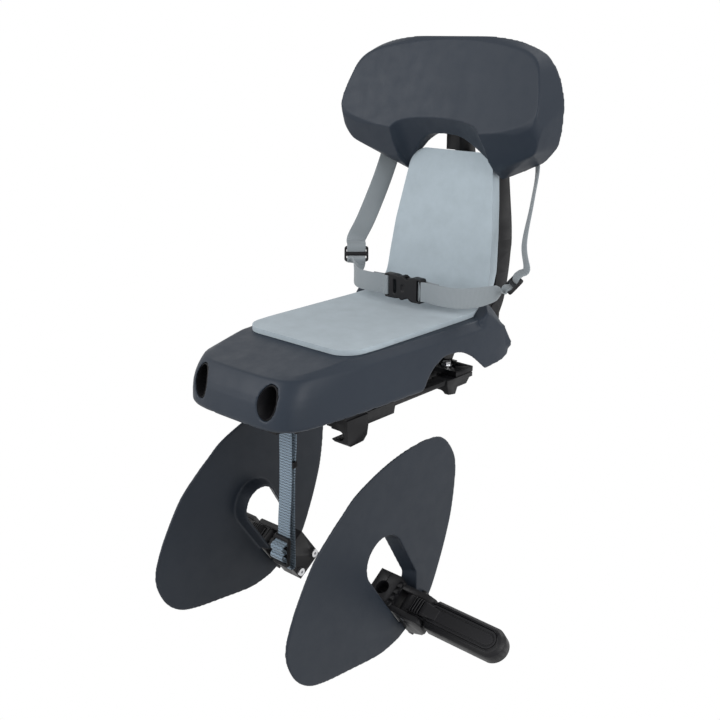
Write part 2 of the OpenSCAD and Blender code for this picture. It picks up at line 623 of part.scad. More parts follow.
// Outline of the opening, in the stay's frame; grow widens it
function opening(grow) = concat(
    arc(10, 76, 30 + grow, 0, 180, 18),
    [[-21 - grow, 30], [-21 - grow, -24 - grow], [34 + grow, -24 - grow]]);
module opening_at(x, grow) {
    on_stay() translate([x, 0, 0]) rotate([90, 0, 90]) linear_extrude(0.01) polygon(opening(grow));
}
module opening_plug(x0, x1, grow0, grow1) {
    hull() {
        opening_at(x0, grow0);
        opening_at(x1, grow1);
    }
}
flange_low = 15;
flange_in = max(guard_x - guard_flange, stay_x + stay_d / 2 + 1);
guard_screw_t = [-2, 24];
module spoke_guard() {
    guard_in = guard_x - guard_t;
    color(shell_col) difference() {
        union() {
            across(guard_in, guard_x, leaf_outline);
            difference() {
                opening_plug(flange_in, guard_x - 0.5, -3, 2.5);
                on_stay() translate([0, -90, -90]) cube([guard_in - 0.01, 115, 90 + flange_low]);
                on_stay() translate([0, -90, -90]) cube([guard_in - 0.01, 180, 74]);
            }
        }
        opening_plug(flange_in - 1, guard_in, -6, 0);
        opening_plug(guard_in - 0.01, guard_x + 1, 0, 0);
        for (t = guard_screw_t) on_stay() x_rod(80, 130, t, -29.5, 2.2);
    }
}

// Footrest bracket and stay clamp

cheek_in = 11 + part_gap;
bracket_c = -2;
pivot = [121, -2];
bracket_top = 10;
block_end = 106;
module bracket_cheek(s) {
    translate([0, bracket_c + s * (cheek_in + 3.5) + 3.5, 0]) rotate([90, 0, 0]) linear_extrude(7) polygon([
        [104, bracket_top], [144, bracket_top - 2], [150, bracket_top - 7], [150, -14], [140, -26], [126, -34],
        [guard_x + 0.2, -36], [guard_x + 0.2, -22], [104, -22]]);
}
module footrest_bracket() {
    color(black_col) difference() {
        on_stay() union() {
            // block through the opening, from the clamp out to the cheeks
            translate([stay_x + part_gap, -20, -22]) cube([block_end - stay_x, 37, 22 + bracket_top]);
            translate([stay_x + part_gap, -21, -40]) cube([16, 42, 54]);
            translate([guard_x + 0.2, -20, -44]) cube([6, 48, 24]);
            for (s = [-1, 1]) bracket_cheek(s);
            // ratchet teeth along the inner end
            for (k = [0:3]) translate([96, -17 + k * 8.5, bracket_top - 1]) cube([9, 5, 4]);
        }
        on_stay() {
            translate([stay_x, 0, -200]) cylinder(h = 400, r = stay_d / 2);
            for (t = [-15, 15], s = [-30]) x_rod(60, 108, t, s, screw_r);
            translate([0, bracket_c - 40, pivot[1]]) rotate([-90, 0, 0]) translate([pivot[0], 0, 0]) cylinder(h = 80, r = foot_pin_r);
            for (t = guard_screw_t) x_rod(100, 130, t, -29.5, 2.2);
        }
    }
}
module stay_clamp() {
    color(black_col) on_stay() difference() {
        translate([stay_x - part_gap - 15, -21, -40]) cube([15, 42, 54]);
        translate([stay_x, 0, -200]) cylinder(h = 400, r = stay_d / 2);
        for (t = [-15, 15], s = [-30]) x_rod(40, 110, t, s, screw_r + 0.2);
    }
}
module clamp_bolts() {
    color(steel_col) on_stay() for (t = [-15, 15])
        translate([stay_x - part_gap - 15, t, -30]) rotate([0, 90, 0]) pan_screw(24);
}
module guard_screws() {
    color(steel_col) on_stay() for (t = guard_screw_t)
        translate([guard_x + 6.2, t, -29.5]) rotate([0, -90, 0]) pan_screw(11, 2.2, 4);
}
module footrest_pin() {
    color(steel_col) on_stay() translate([pivot[0], bracket_c - cheek_in - 7, pivot[1]]) rotate([-90, 0, 0])
        cylinder(h = 2 * cheek_in + 14, r = foot_pin_r);
}

// Footrest arm and its tread

arm_end = pivot[0] + arm_len;
module arm_outline(grow) {
    polygon(concat([[pivot[0] + 30.5, -11 - grow], [157, -arm_half_w - grow]],
        arc(arm_end - arm_half_w, 0, arm_half_w + grow, -80, 80, 16),
        [[157, arm_half_w + grow], [pivot[0] + 30.5, 11 + grow]]));
}
module tread_outline(grow) {
    polygon(concat([[126 - grow, -8 - grow], [148, -8 - grow], [158, -11 - grow]],
        arc(arm_end - arm_half_w - 3, 0, 11 + grow, -85, 85, 14),
        [[158, 11 + grow], [148, 8 + grow], [126 - grow, 8 + grow]]));
}
module footrest_arm() {
    color(black_col) on_stay() translate([0, bracket_c, 0]) difference() {
        union() {
            translate([0, 0, bracket_top - arm_t]) linear_extrude(arm_t - 4) arm_outline(0);
            hull() {
                translate([0, 0, bracket_top - 5]) linear_extrude(1) arm_outline(0);
                translate([0, 0, bracket_top - 0.01]) linear_extrude(0.01) arm_outline(-4);
            }
            // knuckle between the cheeks
            translate([pivot[0], 11, pivot[1]]) rotate([90, 0, 0]) cylinder(h = 22, r = 9.5);
            translate([pivot[0], -11, bracket_top - 17]) cube([34, 22, 15.5]);
        }
        translate([pivot[0], 40, pivot[1]]) rotate([90, 0, 0]) cylinder(h = 80, r = foot_pin_r + pin_gap);
        translate([0, 0, bracket_top - 2.5]) linear_extrude(5) tread_outline(0.6);
    }
}
module tread() {
    color(black_col) on_stay() translate([0, bracket_c, bracket_top - 2.5]) linear_extrude(2.4) tread_outline(0);
}

seat_shell();
seat_pad();
pad_bend();
shell_screws();
carrier_frame();
frame_screws();
hinge_rod();
hinge_caps();
clamp_rail();  // clamp_rail_right
mirror([1, 0, 0]) clamp_rail();  // clamp_rail_left
rail_bolts();  // rail_bolts_right
mirror([1, 0, 0]) rail_bolts();  // rail_bolts_left
back_frame();
back_pad();
headrest_shell();
headrest_screws();
shoulder_strap();  // shoulder_strap_right
mirror([1, 0, 0]) shoulder_strap();  // shoulder_strap_left
glide();  // glide_right
mirror([1, 0, 0]) glide();  // glide_left
lap_strap(1);  // lap_strap_right
lap_strap(-1);  // lap_strap_left
buckle_socket();
buckle_plug();
safety_strap();
safety_buckle();
spoke_guard();  // spoke_guard_right
mirror([1, 0, 0]) spoke_guard();  // spoke_guard_left
footrest_bracket();  // footrest_bracket_right
mirror([1, 0, 0]) footrest_bracket();  // footrest_bracket_left
stay_clamp();  // stay_clamp_right
mirror([1, 0, 0]) stay_clamp();  // stay_clamp_left
clamp_bolts();  // clamp_bolts_right
mirror([1, 0, 0]) clamp_bolts();  // clamp_bolts_left
guard_screws();  // guard_screws_right
mirror([1, 0, 0]) guard_screws();  // guard_screws_left
footrest_pin();  // footrest_pin_right
mirror([1, 0, 0]) footrest_pin();  // footrest_pin_left
footrest_arm();  // footrest_arm_right
mirror([1, 0, 0]) footrest_arm();  // footrest_arm_left
tread();  // tread_right
mirror([1, 0, 0]) tread();  // tread_left
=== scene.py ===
import json
import math

import bmesh
import bpy
from mathutils import Matrix, Vector

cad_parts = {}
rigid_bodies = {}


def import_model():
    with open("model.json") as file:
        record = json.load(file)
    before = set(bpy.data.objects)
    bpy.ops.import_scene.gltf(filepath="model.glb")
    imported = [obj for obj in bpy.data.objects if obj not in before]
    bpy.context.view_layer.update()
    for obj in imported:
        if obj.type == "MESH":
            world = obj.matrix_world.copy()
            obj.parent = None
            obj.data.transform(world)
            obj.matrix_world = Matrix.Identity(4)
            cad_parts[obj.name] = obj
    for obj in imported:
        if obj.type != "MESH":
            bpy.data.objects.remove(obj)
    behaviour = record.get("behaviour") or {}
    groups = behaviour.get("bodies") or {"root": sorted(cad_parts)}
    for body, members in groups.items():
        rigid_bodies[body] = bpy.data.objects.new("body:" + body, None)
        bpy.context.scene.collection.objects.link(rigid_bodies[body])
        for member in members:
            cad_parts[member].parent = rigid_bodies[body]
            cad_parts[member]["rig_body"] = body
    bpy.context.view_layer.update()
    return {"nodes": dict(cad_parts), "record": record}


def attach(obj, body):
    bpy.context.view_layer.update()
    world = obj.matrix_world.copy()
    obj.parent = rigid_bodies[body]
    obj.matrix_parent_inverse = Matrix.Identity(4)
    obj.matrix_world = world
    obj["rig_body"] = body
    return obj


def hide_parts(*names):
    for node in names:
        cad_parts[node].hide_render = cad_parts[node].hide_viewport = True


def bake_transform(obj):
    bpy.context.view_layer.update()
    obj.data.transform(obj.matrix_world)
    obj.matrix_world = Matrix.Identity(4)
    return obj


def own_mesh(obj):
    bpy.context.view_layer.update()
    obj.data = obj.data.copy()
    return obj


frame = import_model()
NODES = frame["nodes"]
MM = 0.001


# Camera, floor and lamps

def look_at(obj, target):
    direction = Vector(target) - obj.location
    obj.rotation_euler = direction.to_track_quat("-Z", "Y").to_euler()


def add_camera():
    data = bpy.data.cameras.new("camera")
    data.lens = 50.25
    data.sensor_width = 36.0
    camera = bpy.data.objects.new("camera", data)
    bpy.context.scene.collection.objects.link(camera)
    camera.location = (0.7677, -0.8421, 0.4162)
    look_at(camera, (0.0, 0.0, 0.040))
    bpy.context.scene.camera = camera


def add_lamp(name, location, target, size, power):
    data = bpy.data.lights.new(name, "AREA")
    data.shape = "SQUARE"
    data.size = size
    data.energy = power
    lamp = bpy.data.objects.new(name, data)
    bpy.context.scene.collection.objects.link(lamp)
    lamp.location = location
    look_at(lamp, target)


def seen_white(nodes, links):
    """One for rays that come straight from the camera or off a shiny or clear surface."""
    path = nodes.new("ShaderNodeLightPath")
    shiny = nodes.new("ShaderNodeMath")
    shiny.operation = "MAXIMUM"
    links.new(path.outputs["Is Camera Ray"], shiny.inputs[0])
    links.new(path.outputs["Is Glossy Ray"], shiny.inputs[1])
    clear = nodes.new("ShaderNodeMath")
    clear.operation = "MAXIMUM"
    links.new(shiny.outputs[0], clear.inputs[0])
    links.new(path.outputs["Is Transmission Ray"], clear.inputs[1])
    return clear.outputs[0]


def add_world():
    world = bpy.data.worlds.new("world")
    bpy.context.scene.world = world
    world.use_nodes = True
    nodes, links = world.node_tree.nodes, world.node_tree.links
    nodes.clear()
    lit = nodes.new("ShaderNodeBackground")
    lit.inputs["Color"].default_value = (1, 1, 1, 1)
    lit.inputs["Strength"].default_value = 0.55
    seen = nodes.new("ShaderNodeBackground")
    seen.inputs["Color"].default_value = (1, 1, 1, 1)
    seen.inputs["Strength"].default_value = 1.0
    mix = nodes.new("ShaderNodeMixShader")
    links.new(seen_white(nodes, links), mix.inputs[0])
    links.new(lit.outputs[0], mix.inputs[1])
    links.new(seen.outputs[0], mix.inputs[2])
    out = nodes.new("ShaderNodeOutputWorld")
    links.new(mix.outputs[0], out.inputs[0])


def add_floor():
    mesh = bpy.data.meshes.new("floor")
    half, z = 6.0, -0.34
    mesh.from_pydata([(-half, -half, z), (half, -half, z), (half, half, z), (-half, half, z)], [],
                     [(0, 1, 2, 3)])
    floor = bpy.data.objects.new("floor", mesh)
    bpy.context.scene.collection.objects.link(floor)
    mat = bpy.data.materials.new("floor")
    mat.use_nodes = True
    nodes, links = mat.node_tree.nodes, mat.node_tree.links
    nodes.clear()
    diffuse = nodes.new("ShaderNodeBsdfDiffuse")
    diffuse.inputs["Color"].default_value = (0.82, 0.82, 0.82, 1)
    glow = nodes.new("ShaderNodeEmission")
    glow.inputs["Color"].default_value = (1, 1, 1, 1)
    glow.inputs["Strength"].default_value = 1.0
    mix = nodes.new("ShaderNodeMixShader")
    links.new(seen_white(nodes, links), mix.inputs[0])
    links.new(diffuse.outputs[0], mix.inputs[1])
    links.new(glow.outputs[0], mix.inputs[2])
    out = nodes.new("ShaderNodeOutputMaterial")
    links.new(mix.outputs[0], out.inputs[0])
    mesh.materials.append(mat)


# Materials

class Tree:
    """Short names for the nodes of one material."""

    def __init__(self, name):
        self.mat = bpy.data.materials.new(name)
        self.mat.use_nodes = True
        self.nodes, self.links = self.mat.node_tree.nodes, self.mat.node_tree.links
        self.shader = self.nodes["Principled BSDF"]
        self.coord = self.nodes.new("ShaderNodeTexCoord")

    def noise(self, scale, detail=3.0, rough=0.55, source="Object"):
        node = self.nodes.new("ShaderNodeTexNoise")
        node.inputs["Scale"].default_value = scale
        node.inputs["Detail"].default_value = detail
        node.inputs["Roughness"].default_value = rough
        self.links.new(self.coord.outputs[source], node.inputs["Vector"])
        return node.outputs["Fac"]

    def ramp(self, value, stops):
        node = self.nodes.new("ShaderNodeValToRGB")
        elements = node.color_ramp.elements
        while len(elements) < len(stops):
            elements.new(0.5)
        for element, (place, color) in zip(elements, stops):
            element.position = place
            element.color = (*color, 1)
        self.links.new(value, node.inputs["Fac"])
        return node.outputs["Color"]

    def math(self, kind, a, b):
        node = self.nodes.new("ShaderNodeMath")
        node.operation = kind
        for slot, value in ((0, a), (1, b)):
            if isinstance(value, (int, float)):
                node.inputs[slot].default_value = value
            else:
                self.links.new(value, node.inputs[slot])
        return node.outputs[0]

    def map_range(self, value, low, high, to_low, to_high):
        node = self.nodes.new("ShaderNodeMapRange")
        for slot, number in ((1, low), (2, high), (3, to_low), (4, to_high)):
            node.inputs[slot].default_value = number
        self.links.new(value, node.inputs[0])
        return node.outputs[0]

    def bump(self, height, strength, distance, normal=None):
        node = self.nodes.new("ShaderNodeBump")
        node.inputs["Strength"].default_value = strength
        node.inputs["Distance"].default_value = distance
        self.links.new(height, node.inputs["Height"])
        if normal is not None:
            self.links.new(normal, node.inputs["Normal"])
        return node.outputs["Normal"]

    def set(self, **values):
        for key, value in values.items():
            socket = self.shader.inputs[key.replace("_", " ")]
            if hasattr(value, "links") or hasattr(value, "is_linked"):
                self.links.new(value, socket)
            else:
                socket.default_value = value
        return self.mat


def tone(color, gain):
    return tuple(min(1.0, c * gain) for c in color)


def moulded(name, color, rough, grain=1400.0, grain_depth=0.00004, contrast=0.1):
    """Moulded plastic: fine spark grain, faint flow clouds and duller patches."""
    t = Tree(name)
    clouds = t.noise(9.0, 2.0)
    fine = t.noise(grain, 2.0)
    color_out = t.ramp(clouds, [(0.3, tone(color, 1 - contrast)), (0.7, tone(color, 1 + contrast))])
    rough_out = t.map_range(t.noise(60.0, 4.0), 0.3, 0.7, rough - 0.05, rough + 0.06)
    return t.set(Base_Color=color_out, Roughness=rough_out, Normal=t.bump(fine, 0.35, grain_depth),
                 Specular_IOR_Level=0.24)


def foam(name, color):
    """Closed-cell foam skin: matt, with a fine pebble and faint mottling."""
    t = Tree(name)
    mottle = t.noise(45.0, 5.0, 0.65)
    pebble = t.noise(900.0, 3.0, 0.6)
    speck = t.noise(2600.0, 2.0)
    tint = t.ramp(mottle, [(0.3, tone(color, 0.93)), (0.7, tone(color, 1.05))])
    rough = t.map_range(pebble, 0.3, 0.7, 0.72, 0.86)
    normal = t.bump(speck, 0.25, 0.00005, t.bump(pebble, 0.4, 0.00012))
    return t.set(Base_Color=tint, Roughness=rough, Normal=normal, Specular_IOR_Level=0.3,
                 Sheen_Weight=0.15, Sheen_Roughness=0.5)


def woven(name, color, rib, deep, rib_depth=0.00025):
    """Webbing: U is across and V along, both in millimetres on the UV map."""
    t = Tree(name)
    split = t.nodes.new("ShaderNodeSeparateXYZ")
    t.links.new(t.coord.outputs["UV"], split.inputs[0])
    across, along = split.outputs[0], split.outputs[1]
    wave_a = t.math("SINE", t.math("MULTIPLY", along, 2 * math.pi / rib), 0)
    zig = t.math("PINGPONG", across, 3.0)
    twill = t.math("SINE", t.math("MULTIPLY", t.math("ADD", along, t.math("MULTIPLY", zig, 0.8)),
                                  2 * math.pi / (rib * 0.9)), 0)
    thread = t.math("SINE", t.math("MULTIPLY", across, 2 * math.pi / 0.9), 0)
    weave = t.math("ADD", t.math("MULTIPLY", wave_a, 0.45),
                   t.math("ADD", t.math("MULTIPLY", twill, 0.4), t.math("MULTIPLY", thread, 0.25)))
    fuzz = t.noise(3000.0, 2.0)
    height = t.math("ADD", weave, fuzz)
    shade = t.map_range(weave, -1.0, 1.0, 0.15, 0.85)
    tint = t.ramp(shade, [(0.25, tone(color, deep)), (0.7, tone(color, 1.15))])
    return t.set(Base_Color=tint, Roughness=0.78, Normal=t.bump(height, 0.6, rib_depth),
                 Specular_IOR_Level=0.3, Sheen_Weight=0.25, Sheen_Roughness=0.4)


def plated(name):
    t = Tree(name)
    streak = t.noise(700.0, 4.0)
    tint = t.ramp(t.noise(80.0), [(0.3, (0.52, 0.53, 0.55)), (0.7, (0.66, 0.66, 0.67))])
    rough = t.map_range(streak, 0.3, 0.7, 0.24, 0.4)
    return t.set(Base_Color=tint, Metallic=1.0, Roughness=rough, Normal=t.bump(streak, 0.15, 0.00003))


MATS = {
    "shell": moulded("shell_plastic", (0.0155, 0.0222, 0.0335), 0.48, contrast=0.05),
    "guard": moulded("guard_plastic", (0.0145, 0.0195, 0.028), 0.48, contrast=0.06),
    "black": moulded("black_plastic", (0.005, 0.005, 0.0062), 0.48, grain=900.0, grain_depth=0.00008,
                     contrast=0.2),
    "tread": moulded("tread_rubber", (0.0095, 0.0095, 0.011), 0.6, grain=700.0, grain_depth=0.0001,
                     contrast=0.2),
    "pad": foam("pad_foam", (0.335, 0.392, 0.432)),
    "webbing": woven("harness_webbing", (0.225, 0.252, 0.27), rib=1.5, deep=0.78),
    "tether": woven("tether_webbing", (0.2, 0.262, 0.325), rib=3.5, rib_depth=0.0005, deep=0.3),
    "steel": plated("plated_steel"),
}
SLOT = {p["node"]: p["material_slot"] for p in frame["record"]["subparts"]}
for node_name, node_object in NODES.items():
    node_object.data.materials.clear()
    node_object.data.materials.append(MATS[SLOT[node_name]])


# Mesh tools

def new_object(name, verts, faces, slot, body, replaced=(), smooth_angle=35.0):
    mesh = bpy.data.meshes.new(name)
    mesh.from_pydata([tuple(v) for v in verts], [], faces)
    mesh.update()
    obj = bpy.data.objects.new(name, mesh)
    bpy.context.scene.collection.objects.link(obj)
    fix_normals(mesh)
    mesh.materials.append(MATS[slot])
    shade(obj, smooth_angle)
    if body:
        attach(obj, body)
    if replaced:
        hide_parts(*replaced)
    return obj


def fix_normals(mesh):
    bm = bmesh.new()
    bm.from_mesh(mesh)
    bmesh.ops.recalc_face_normals(bm, faces=bm.faces)
    bm.to_mesh(mesh)
    bm.free()


def shade(obj, angle):
    mesh = obj.data
    mesh.polygons.foreach_set("use_smooth", [True] * len(mesh.polygons))
    mesh.set_sharp_from_angle(angle=math.radians(angle))
    mesh.update()


def apply_modifiers(obj):
    graph = bpy.context.evaluated_depsgraph_get()
    mesh = bpy.data.meshes.new_from_object(obj.evaluated_get(graph))
    old = obj.data
    obj.modifiers.clear()
    obj.data = mesh
    bpy.data.meshes.remove(old)


def soften(node, width, segments=2, angle=32.0):
    """A copy of a CAD node with small rounded edges, shown in its place."""
    source = NODES[node]
    mesh = source.data.copy()
    mesh.name = node + "_soft"
    obj = bpy.data.objects.new(node + "_soft", mesh)
    bpy.context.scene.collection.objects.link(obj)
    bm = bmesh.new()
    bm.from_mesh(mesh)
    bmesh.ops.remove_doubles(bm, verts=bm.verts, dist=0.00002)
    bmesh.ops.dissolve_limit(bm, angle_limit=math.radians(1.0), verts=bm.verts, edges=bm.edges)
    bm.to_mesh(mesh)
    bm.free()
    bevel = obj.modifiers.new("bevel", "BEVEL")
    bevel.width = width * MM
    bevel.segments = segments
    bevel.limit_method = "ANGLE"
    bevel.angle_limit = math.radians(angle)
    bevel.use_clamp_overlap = True
    bevel.harden_normals = True
    apply_modifiers(obj)
    obj.data.materials.clear()
    obj.data.materials.append(MATS[SLOT[node]])
    shade(obj, 40.0)
    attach(obj, source["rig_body"])
    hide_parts(node)
    return obj


def spline(points, steps):
    """Points of a smooth curve through the given points."""
    pts = [Vector(p) for p in points]
    out = []
    for i in range(len(pts) - 1):
        a, b = pts[max(i - 1, 0)], pts[i]
        c, d = pts[i + 1], pts[min(i + 2, len(pts) - 1)]
        for k in range(steps):
            t = k / steps
            out.append(0.5 * (2 * b + (c - a) * t + (2 * a - 5 * b + 4 * c - d) * t * t
                              + (3 * b - a - 3 * c + d) * t ** 3))
    out.append(pts[-1].copy())
    return out


def ribbon(name, points, across, width, thick, slot, body, replaced=(), steps=6):
    """Webbing swept through points (mm); across gives its width direction at each one."""
    path = spline(points, steps)
    dirs = spline(across, steps)
    verts, faces, uvs = [], [], []
    half = width / 2
    profile = [(-1.0, 0.0), (-0.97, 0.42), (-0.9, 0.5), (-0.45, 0.52), (0.0, 0.52), (0.45, 0.52),
               (0.9, 0.5), (0.97, 0.42),
               (1.0, 0.0), (0.97, -0.42), (0.9, -0.5), (0.45, -0.52), (0.0, -0.52), (-0.45, -0.52),
               (-0.9, -0.5),
               (-0.97, -0.42)]
    n = len(profile)
    length = 0.0
    rows = []
    for i, p in enumerate(path):
        if i:
            length += (p - path[i - 1]).length
        tangent = path[min(i + 1, len(path) - 1)] - path[max(i - 1, 0)]
        tangent.normalize()
        u = dirs[i] - tangent * dirs[i].dot(tangent)
        u.normalize()
        v = tangent.cross(u)
        rows.append(length)
        for a, b in profile:
            verts.append((p + u * a * half + v * b * thick) * MM)
    for i in range(len(path) - 1):
        for k in range(n):
            j = (k + 1) % n
            faces.append((i * n + k, i * n + j, (i + 1) * n + j, (i + 1) * n + k))
            ua, ub = profile[k][0] * half, profile[j][0] * half
            uvs.append([(ua, rows[i]), (ub, rows[i]), (ub, rows[i + 1]), (ua, rows[i + 1])])
    last = (len(path) - 1) * n
    faces.append(tuple(range(n - 1, -1, -1)))
    uvs.append([(0, 0)] * n)
    faces.append(tuple(range(last, last + n)))
    uvs.append([(0, 0)] * n)
    mesh = bpy.data.meshes.new(name)
    mesh.from_pydata([tuple(v) for v in verts], [], faces)
    layer = mesh.uv_layers.new(name="UVMap")
    flat = [c for face in uvs for uv in face for c in uv]
    layer.data.foreach_set("uv", flat)
    mesh.update()
    obj = bpy.data.objects.new(name, mesh)
    bpy.context.scene.collection.objects.link(obj)
    fix_normals(mesh)
    mesh.materials.append(MATS[slot])
    shade(obj, 50.0)
    if body:
        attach(obj, body)
    if replaced:
        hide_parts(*replaced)
    return obj


# Moulded forms: hulls, prisms and cuts, melted into one rounded skin

def raw_object(verts, faces):
    mesh = bpy.data.meshes.new("raw")
    mesh.from_pydata([tuple(Vector(v) * MM) for v in verts], [], faces)
    mesh.update()
    fix_normals(mesh)
    obj = bpy.data.objects.new("raw", mesh)
    bpy.context.scene.collection.objects.link(obj)
    return obj


def hull_of(points):
    """The convex hull of points in millimetres."""
    bm = bmesh.new()
    for p in points:
        bm.verts.new(Vector(p) * MM)
    found = bmesh.ops.convex_hull(bm, input=bm.verts)
    loose = [v for v in found["geom_interior"] if isinstance(v, bmesh.types.BMVert)]
    bmesh.ops.delete(bm, geom=loose, context="VERTS")
    bmesh.ops.delete(bm, geom=[v for v in bm.verts if not v.link_faces], context="VERTS")
    mesh = bpy.data.meshes.new("hull")
    bm.to_mesh(mesh)
    bm.free()
    obj = bpy.data.objects.new("hull", mesh)
    bpy.context.scene.collection.objects.link(obj)
    return obj


def prism(outline, low, high, place):
    """An outline pushed from low to high; place(a, b, c) turns its point and depth into XYZ."""
    n = len(outline)
    verts = [place(a, b, c) for c in (low, high) for a, b in outline]
    faces = [tuple(range(n - 1, -1, -1)), tuple(range(n, 2 * n))]
    faces += [(i, (i + 1) % n, n + (i + 1) % n, n + i) for i in range(n)]
    return raw_object(verts, faces)


def along_x(a, b, c):
    return (c, a, b)


def along_y(a, b, c):
    return (a, c, b)


def along_z(a, b, c):
    return (a, b, c)


def join(obj, tool, kind):
    """Boolean of obj with tool, which is used up."""
    mod = obj.modifiers.new("cut", "BOOLEAN")
    mod.operation = kind
    mod.object = tool
    mod.solver = "EXACT"
    apply_modifiers(obj)
    bpy.data.objects.remove(tool)
    return obj


def union(obj, *tools):
    for tool in tools:
        join(obj, tool, "UNION")
    return obj


def cut(obj, *tools):
    for tool in tools:
        join(obj, tool, "DIFFERENCE")
    return obj


def melt(obj, voxel, passes, share=1.0):
    """Remesh into one even skin, and smooth it so that every edge is rounded."""
    remesh = obj.modifiers.new("remesh", "REMESH")
    remesh.mode = "VOXEL"
    remesh.voxel_size = voxel * MM
    relax = obj.modifiers.new("relax", "SMOOTH")
    relax.factor = 0.5
    relax.iterations = passes
    if share < 1.0:
        thin = obj.modifiers.new("thin", "DECIMATE")
        thin.ratio = share
    apply_modifiers(obj)
    return obj


def as_piece(obj, name, slot, body, replaced=(), angle=60.0):
    obj.name = name
    obj.data.name = name
    obj.data.materials.clear()
    obj.data.materials.append(MATS[slot])
    shade(obj, angle)
    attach(obj, body)
    if replaced:
        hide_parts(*replaced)
    return obj


def smooth(points, steps):
    size = len(points[0])
    return [tuple(v)[:size] for v in spline([tuple(p) + (0.0,) * (3 - size) for p in points], steps)]


def arc(cx, cy, radius, start, end, steps):
    turns = [math.radians(start + (end - start) * i / steps) for i in range(steps + 1)]
    return [(cx + radius * math.cos(t), cy + radius * math.sin(t)) for t in turns]


def clamp(value, low=0.0, high=1.0):
    return max(low, min(high, value))


# Seat shell

HALF_W, FRONT, REAR, DECK_Z, SKIRT_Z = 97.0, 190.0, 168.0, 86.0, 22.0
CREASE_Z = DECK_Z - 10.0
PAD_FRONT, NOSE_OUT, WALL, PAD_HALF = 110.0, 15.0, 3.0, 85.0
WING_IN = PAD_HALF + 0.5
WELL_X, WELL_Z, WELL_RX, WELL_RZ = 52.0, DECK_Z - 33.0, 12.2, 18.6
WELL_FLOOR = -FRONT - 12 + 26
PLAN_REAR = [(HALF_W, -30), (HALF_W + 3, 15), (HALF_W + 6, 70), (HALF_W + 7, 125), (HALF_W + 6, REAR - 13),
             (HALF_W + 1, REAR - 3), (HALF_W - 10, REAR)]
PLAN_TOP = smooth([(0, -FRONT), (30, -FRONT + 0.4), (49, -FRONT + 2.4), (62, -FRONT + 6),
                   (71.5, -FRONT + 13.5), (HALF_W - 18.5, -FRONT + 24),
                   (HALF_W - 13.5, -FRONT + 41), (HALF_W - 8, -FRONT + 66), (HALF_W - 3, -90)] + PLAN_REAR, 9)
PLAN_LOW = smooth([(0, -FRONT - NOSE_OUT), (30, -FRONT - NOSE_OUT + 0.4), (50, -FRONT - NOSE_OUT + 1.8),
                   (64, -FRONT - NOSE_OUT + 5), (74.5, -FRONT - NOSE_OUT + 11.5), (HALF_W - 15, -FRONT + 7),
                   (HALF_W - 10.5, -FRONT + 24),
                   (HALF_W - 6, -FRONT + 58), (HALF_W - 2.5, -90)] + PLAN_REAR, 9)
PROFILE = [(SKIRT_Z + 6, 1.0), (SKIRT_Z + 18, 0.97), (SKIRT_Z + 28, 0.88), (SKIRT_Z + 36, 0.72),
           (SKIRT_Z + 43, 0.5), (SKIRT_Z + 49, 0.25)]
WING_EDGE = [(112, DECK_Z + 8), (126, DECK_Z), (147, DECK_Z - 18), (163, DECK_Z - 35), (REAR, DECK_Z - 43)]


def plan_ring(z, low, inset, keep=1000.0, height=None):
    """The shell's outline at height z; low runs from 0 at the crease to 1 at the foot."""
    ring = []
    for top, foot in zip(PLAN_TOP, PLAN_LOW):
        x, y = (a * (1 - low) + b * low for a, b in zip(top, foot))
        if y >= keep:
            continue
        front = clamp((-y - 120) / 60)
        px = x - inset * min(1, x / 60)
        py = y + inset * front - (inset if y > 150 else 0)
        pz = height(py) if height else z
        ring += [(px, py, pz), (-px, py, pz)]
    return ring


def wing(s, inset):
    points = [(HALF_W + 6.5 - inset, y - inset, z - inset) for y, z in smooth(WING_EDGE, 5)]
    points += [(HALF_W + 3 - inset, y - inset, z - inset - 6) for y, z in smooth(WING_EDGE, 5)]
    points += [(WING_IN + inset, 100, DECK_Z - 8 - inset), (WING_IN + inset, 112, DECK_Z + 6 - inset),
               (WING_IN + inset, 126, DECK_Z + 18 - inset),
               (WING_IN + inset, 137 - inset, DECK_Z + 20 - inset),
               (WING_IN + 4.5 - inset, 125, DECK_Z + 17 - inset),
               (WING_IN + 4.5 - inset, 136 - inset, DECK_Z + 18 - inset),
               (WING_IN + inset, 138 - inset, DECK_Z), (WING_IN + inset, 148 - inset, DECK_Z - 20),
               (WING_IN + inset, 100, DECK_Z - 40), (HALF_W + 5 - inset, 104, DECK_Z - 40),
               (HALF_W + 5 - inset, 104, DECK_Z + 1 - inset)]
    return hull_of([(s * x, y, z) for x, y, z in points])


def shell_form(inset):
    def deck(y):
        return DECK_Z - 10 * clamp((-y - PAD_FRONT) / (FRONT - PAD_FRONT)) - inset
    points = plan_ring(SKIRT_Z - (30 if inset else 0), 1, 5 + inset)
    points += plan_ring(SKIRT_Z + 2.5, 1, 1.5 + inset)
    for z, low in PROFILE:
        points += plan_ring(z, low, inset)
    points += plan_ring(CREASE_Z - inset, 0, inset, keep=112)
    points += plan_ring(DECK_Z - 43 - inset, 0, inset)
    points += plan_ring(0, 0, 8 + inset, keep=112, height=deck)
    return union(hull_of(points), wing(1, 1.7 * inset), wing(-1, 1.7 * inset))


def well_tool(s, grow, end):
    turns = [math.radians(6 * i) for i in range(60)]
    outline = [(s * WELL_X + (WELL_RX + grow) * math.cos(t) + s * 0.8 * math.sin(t),
                WELL_Z + (WELL_RZ + grow) * math.sin(t)) for t in turns]
    return prism(outline, -FRONT - 40, end, along_y)


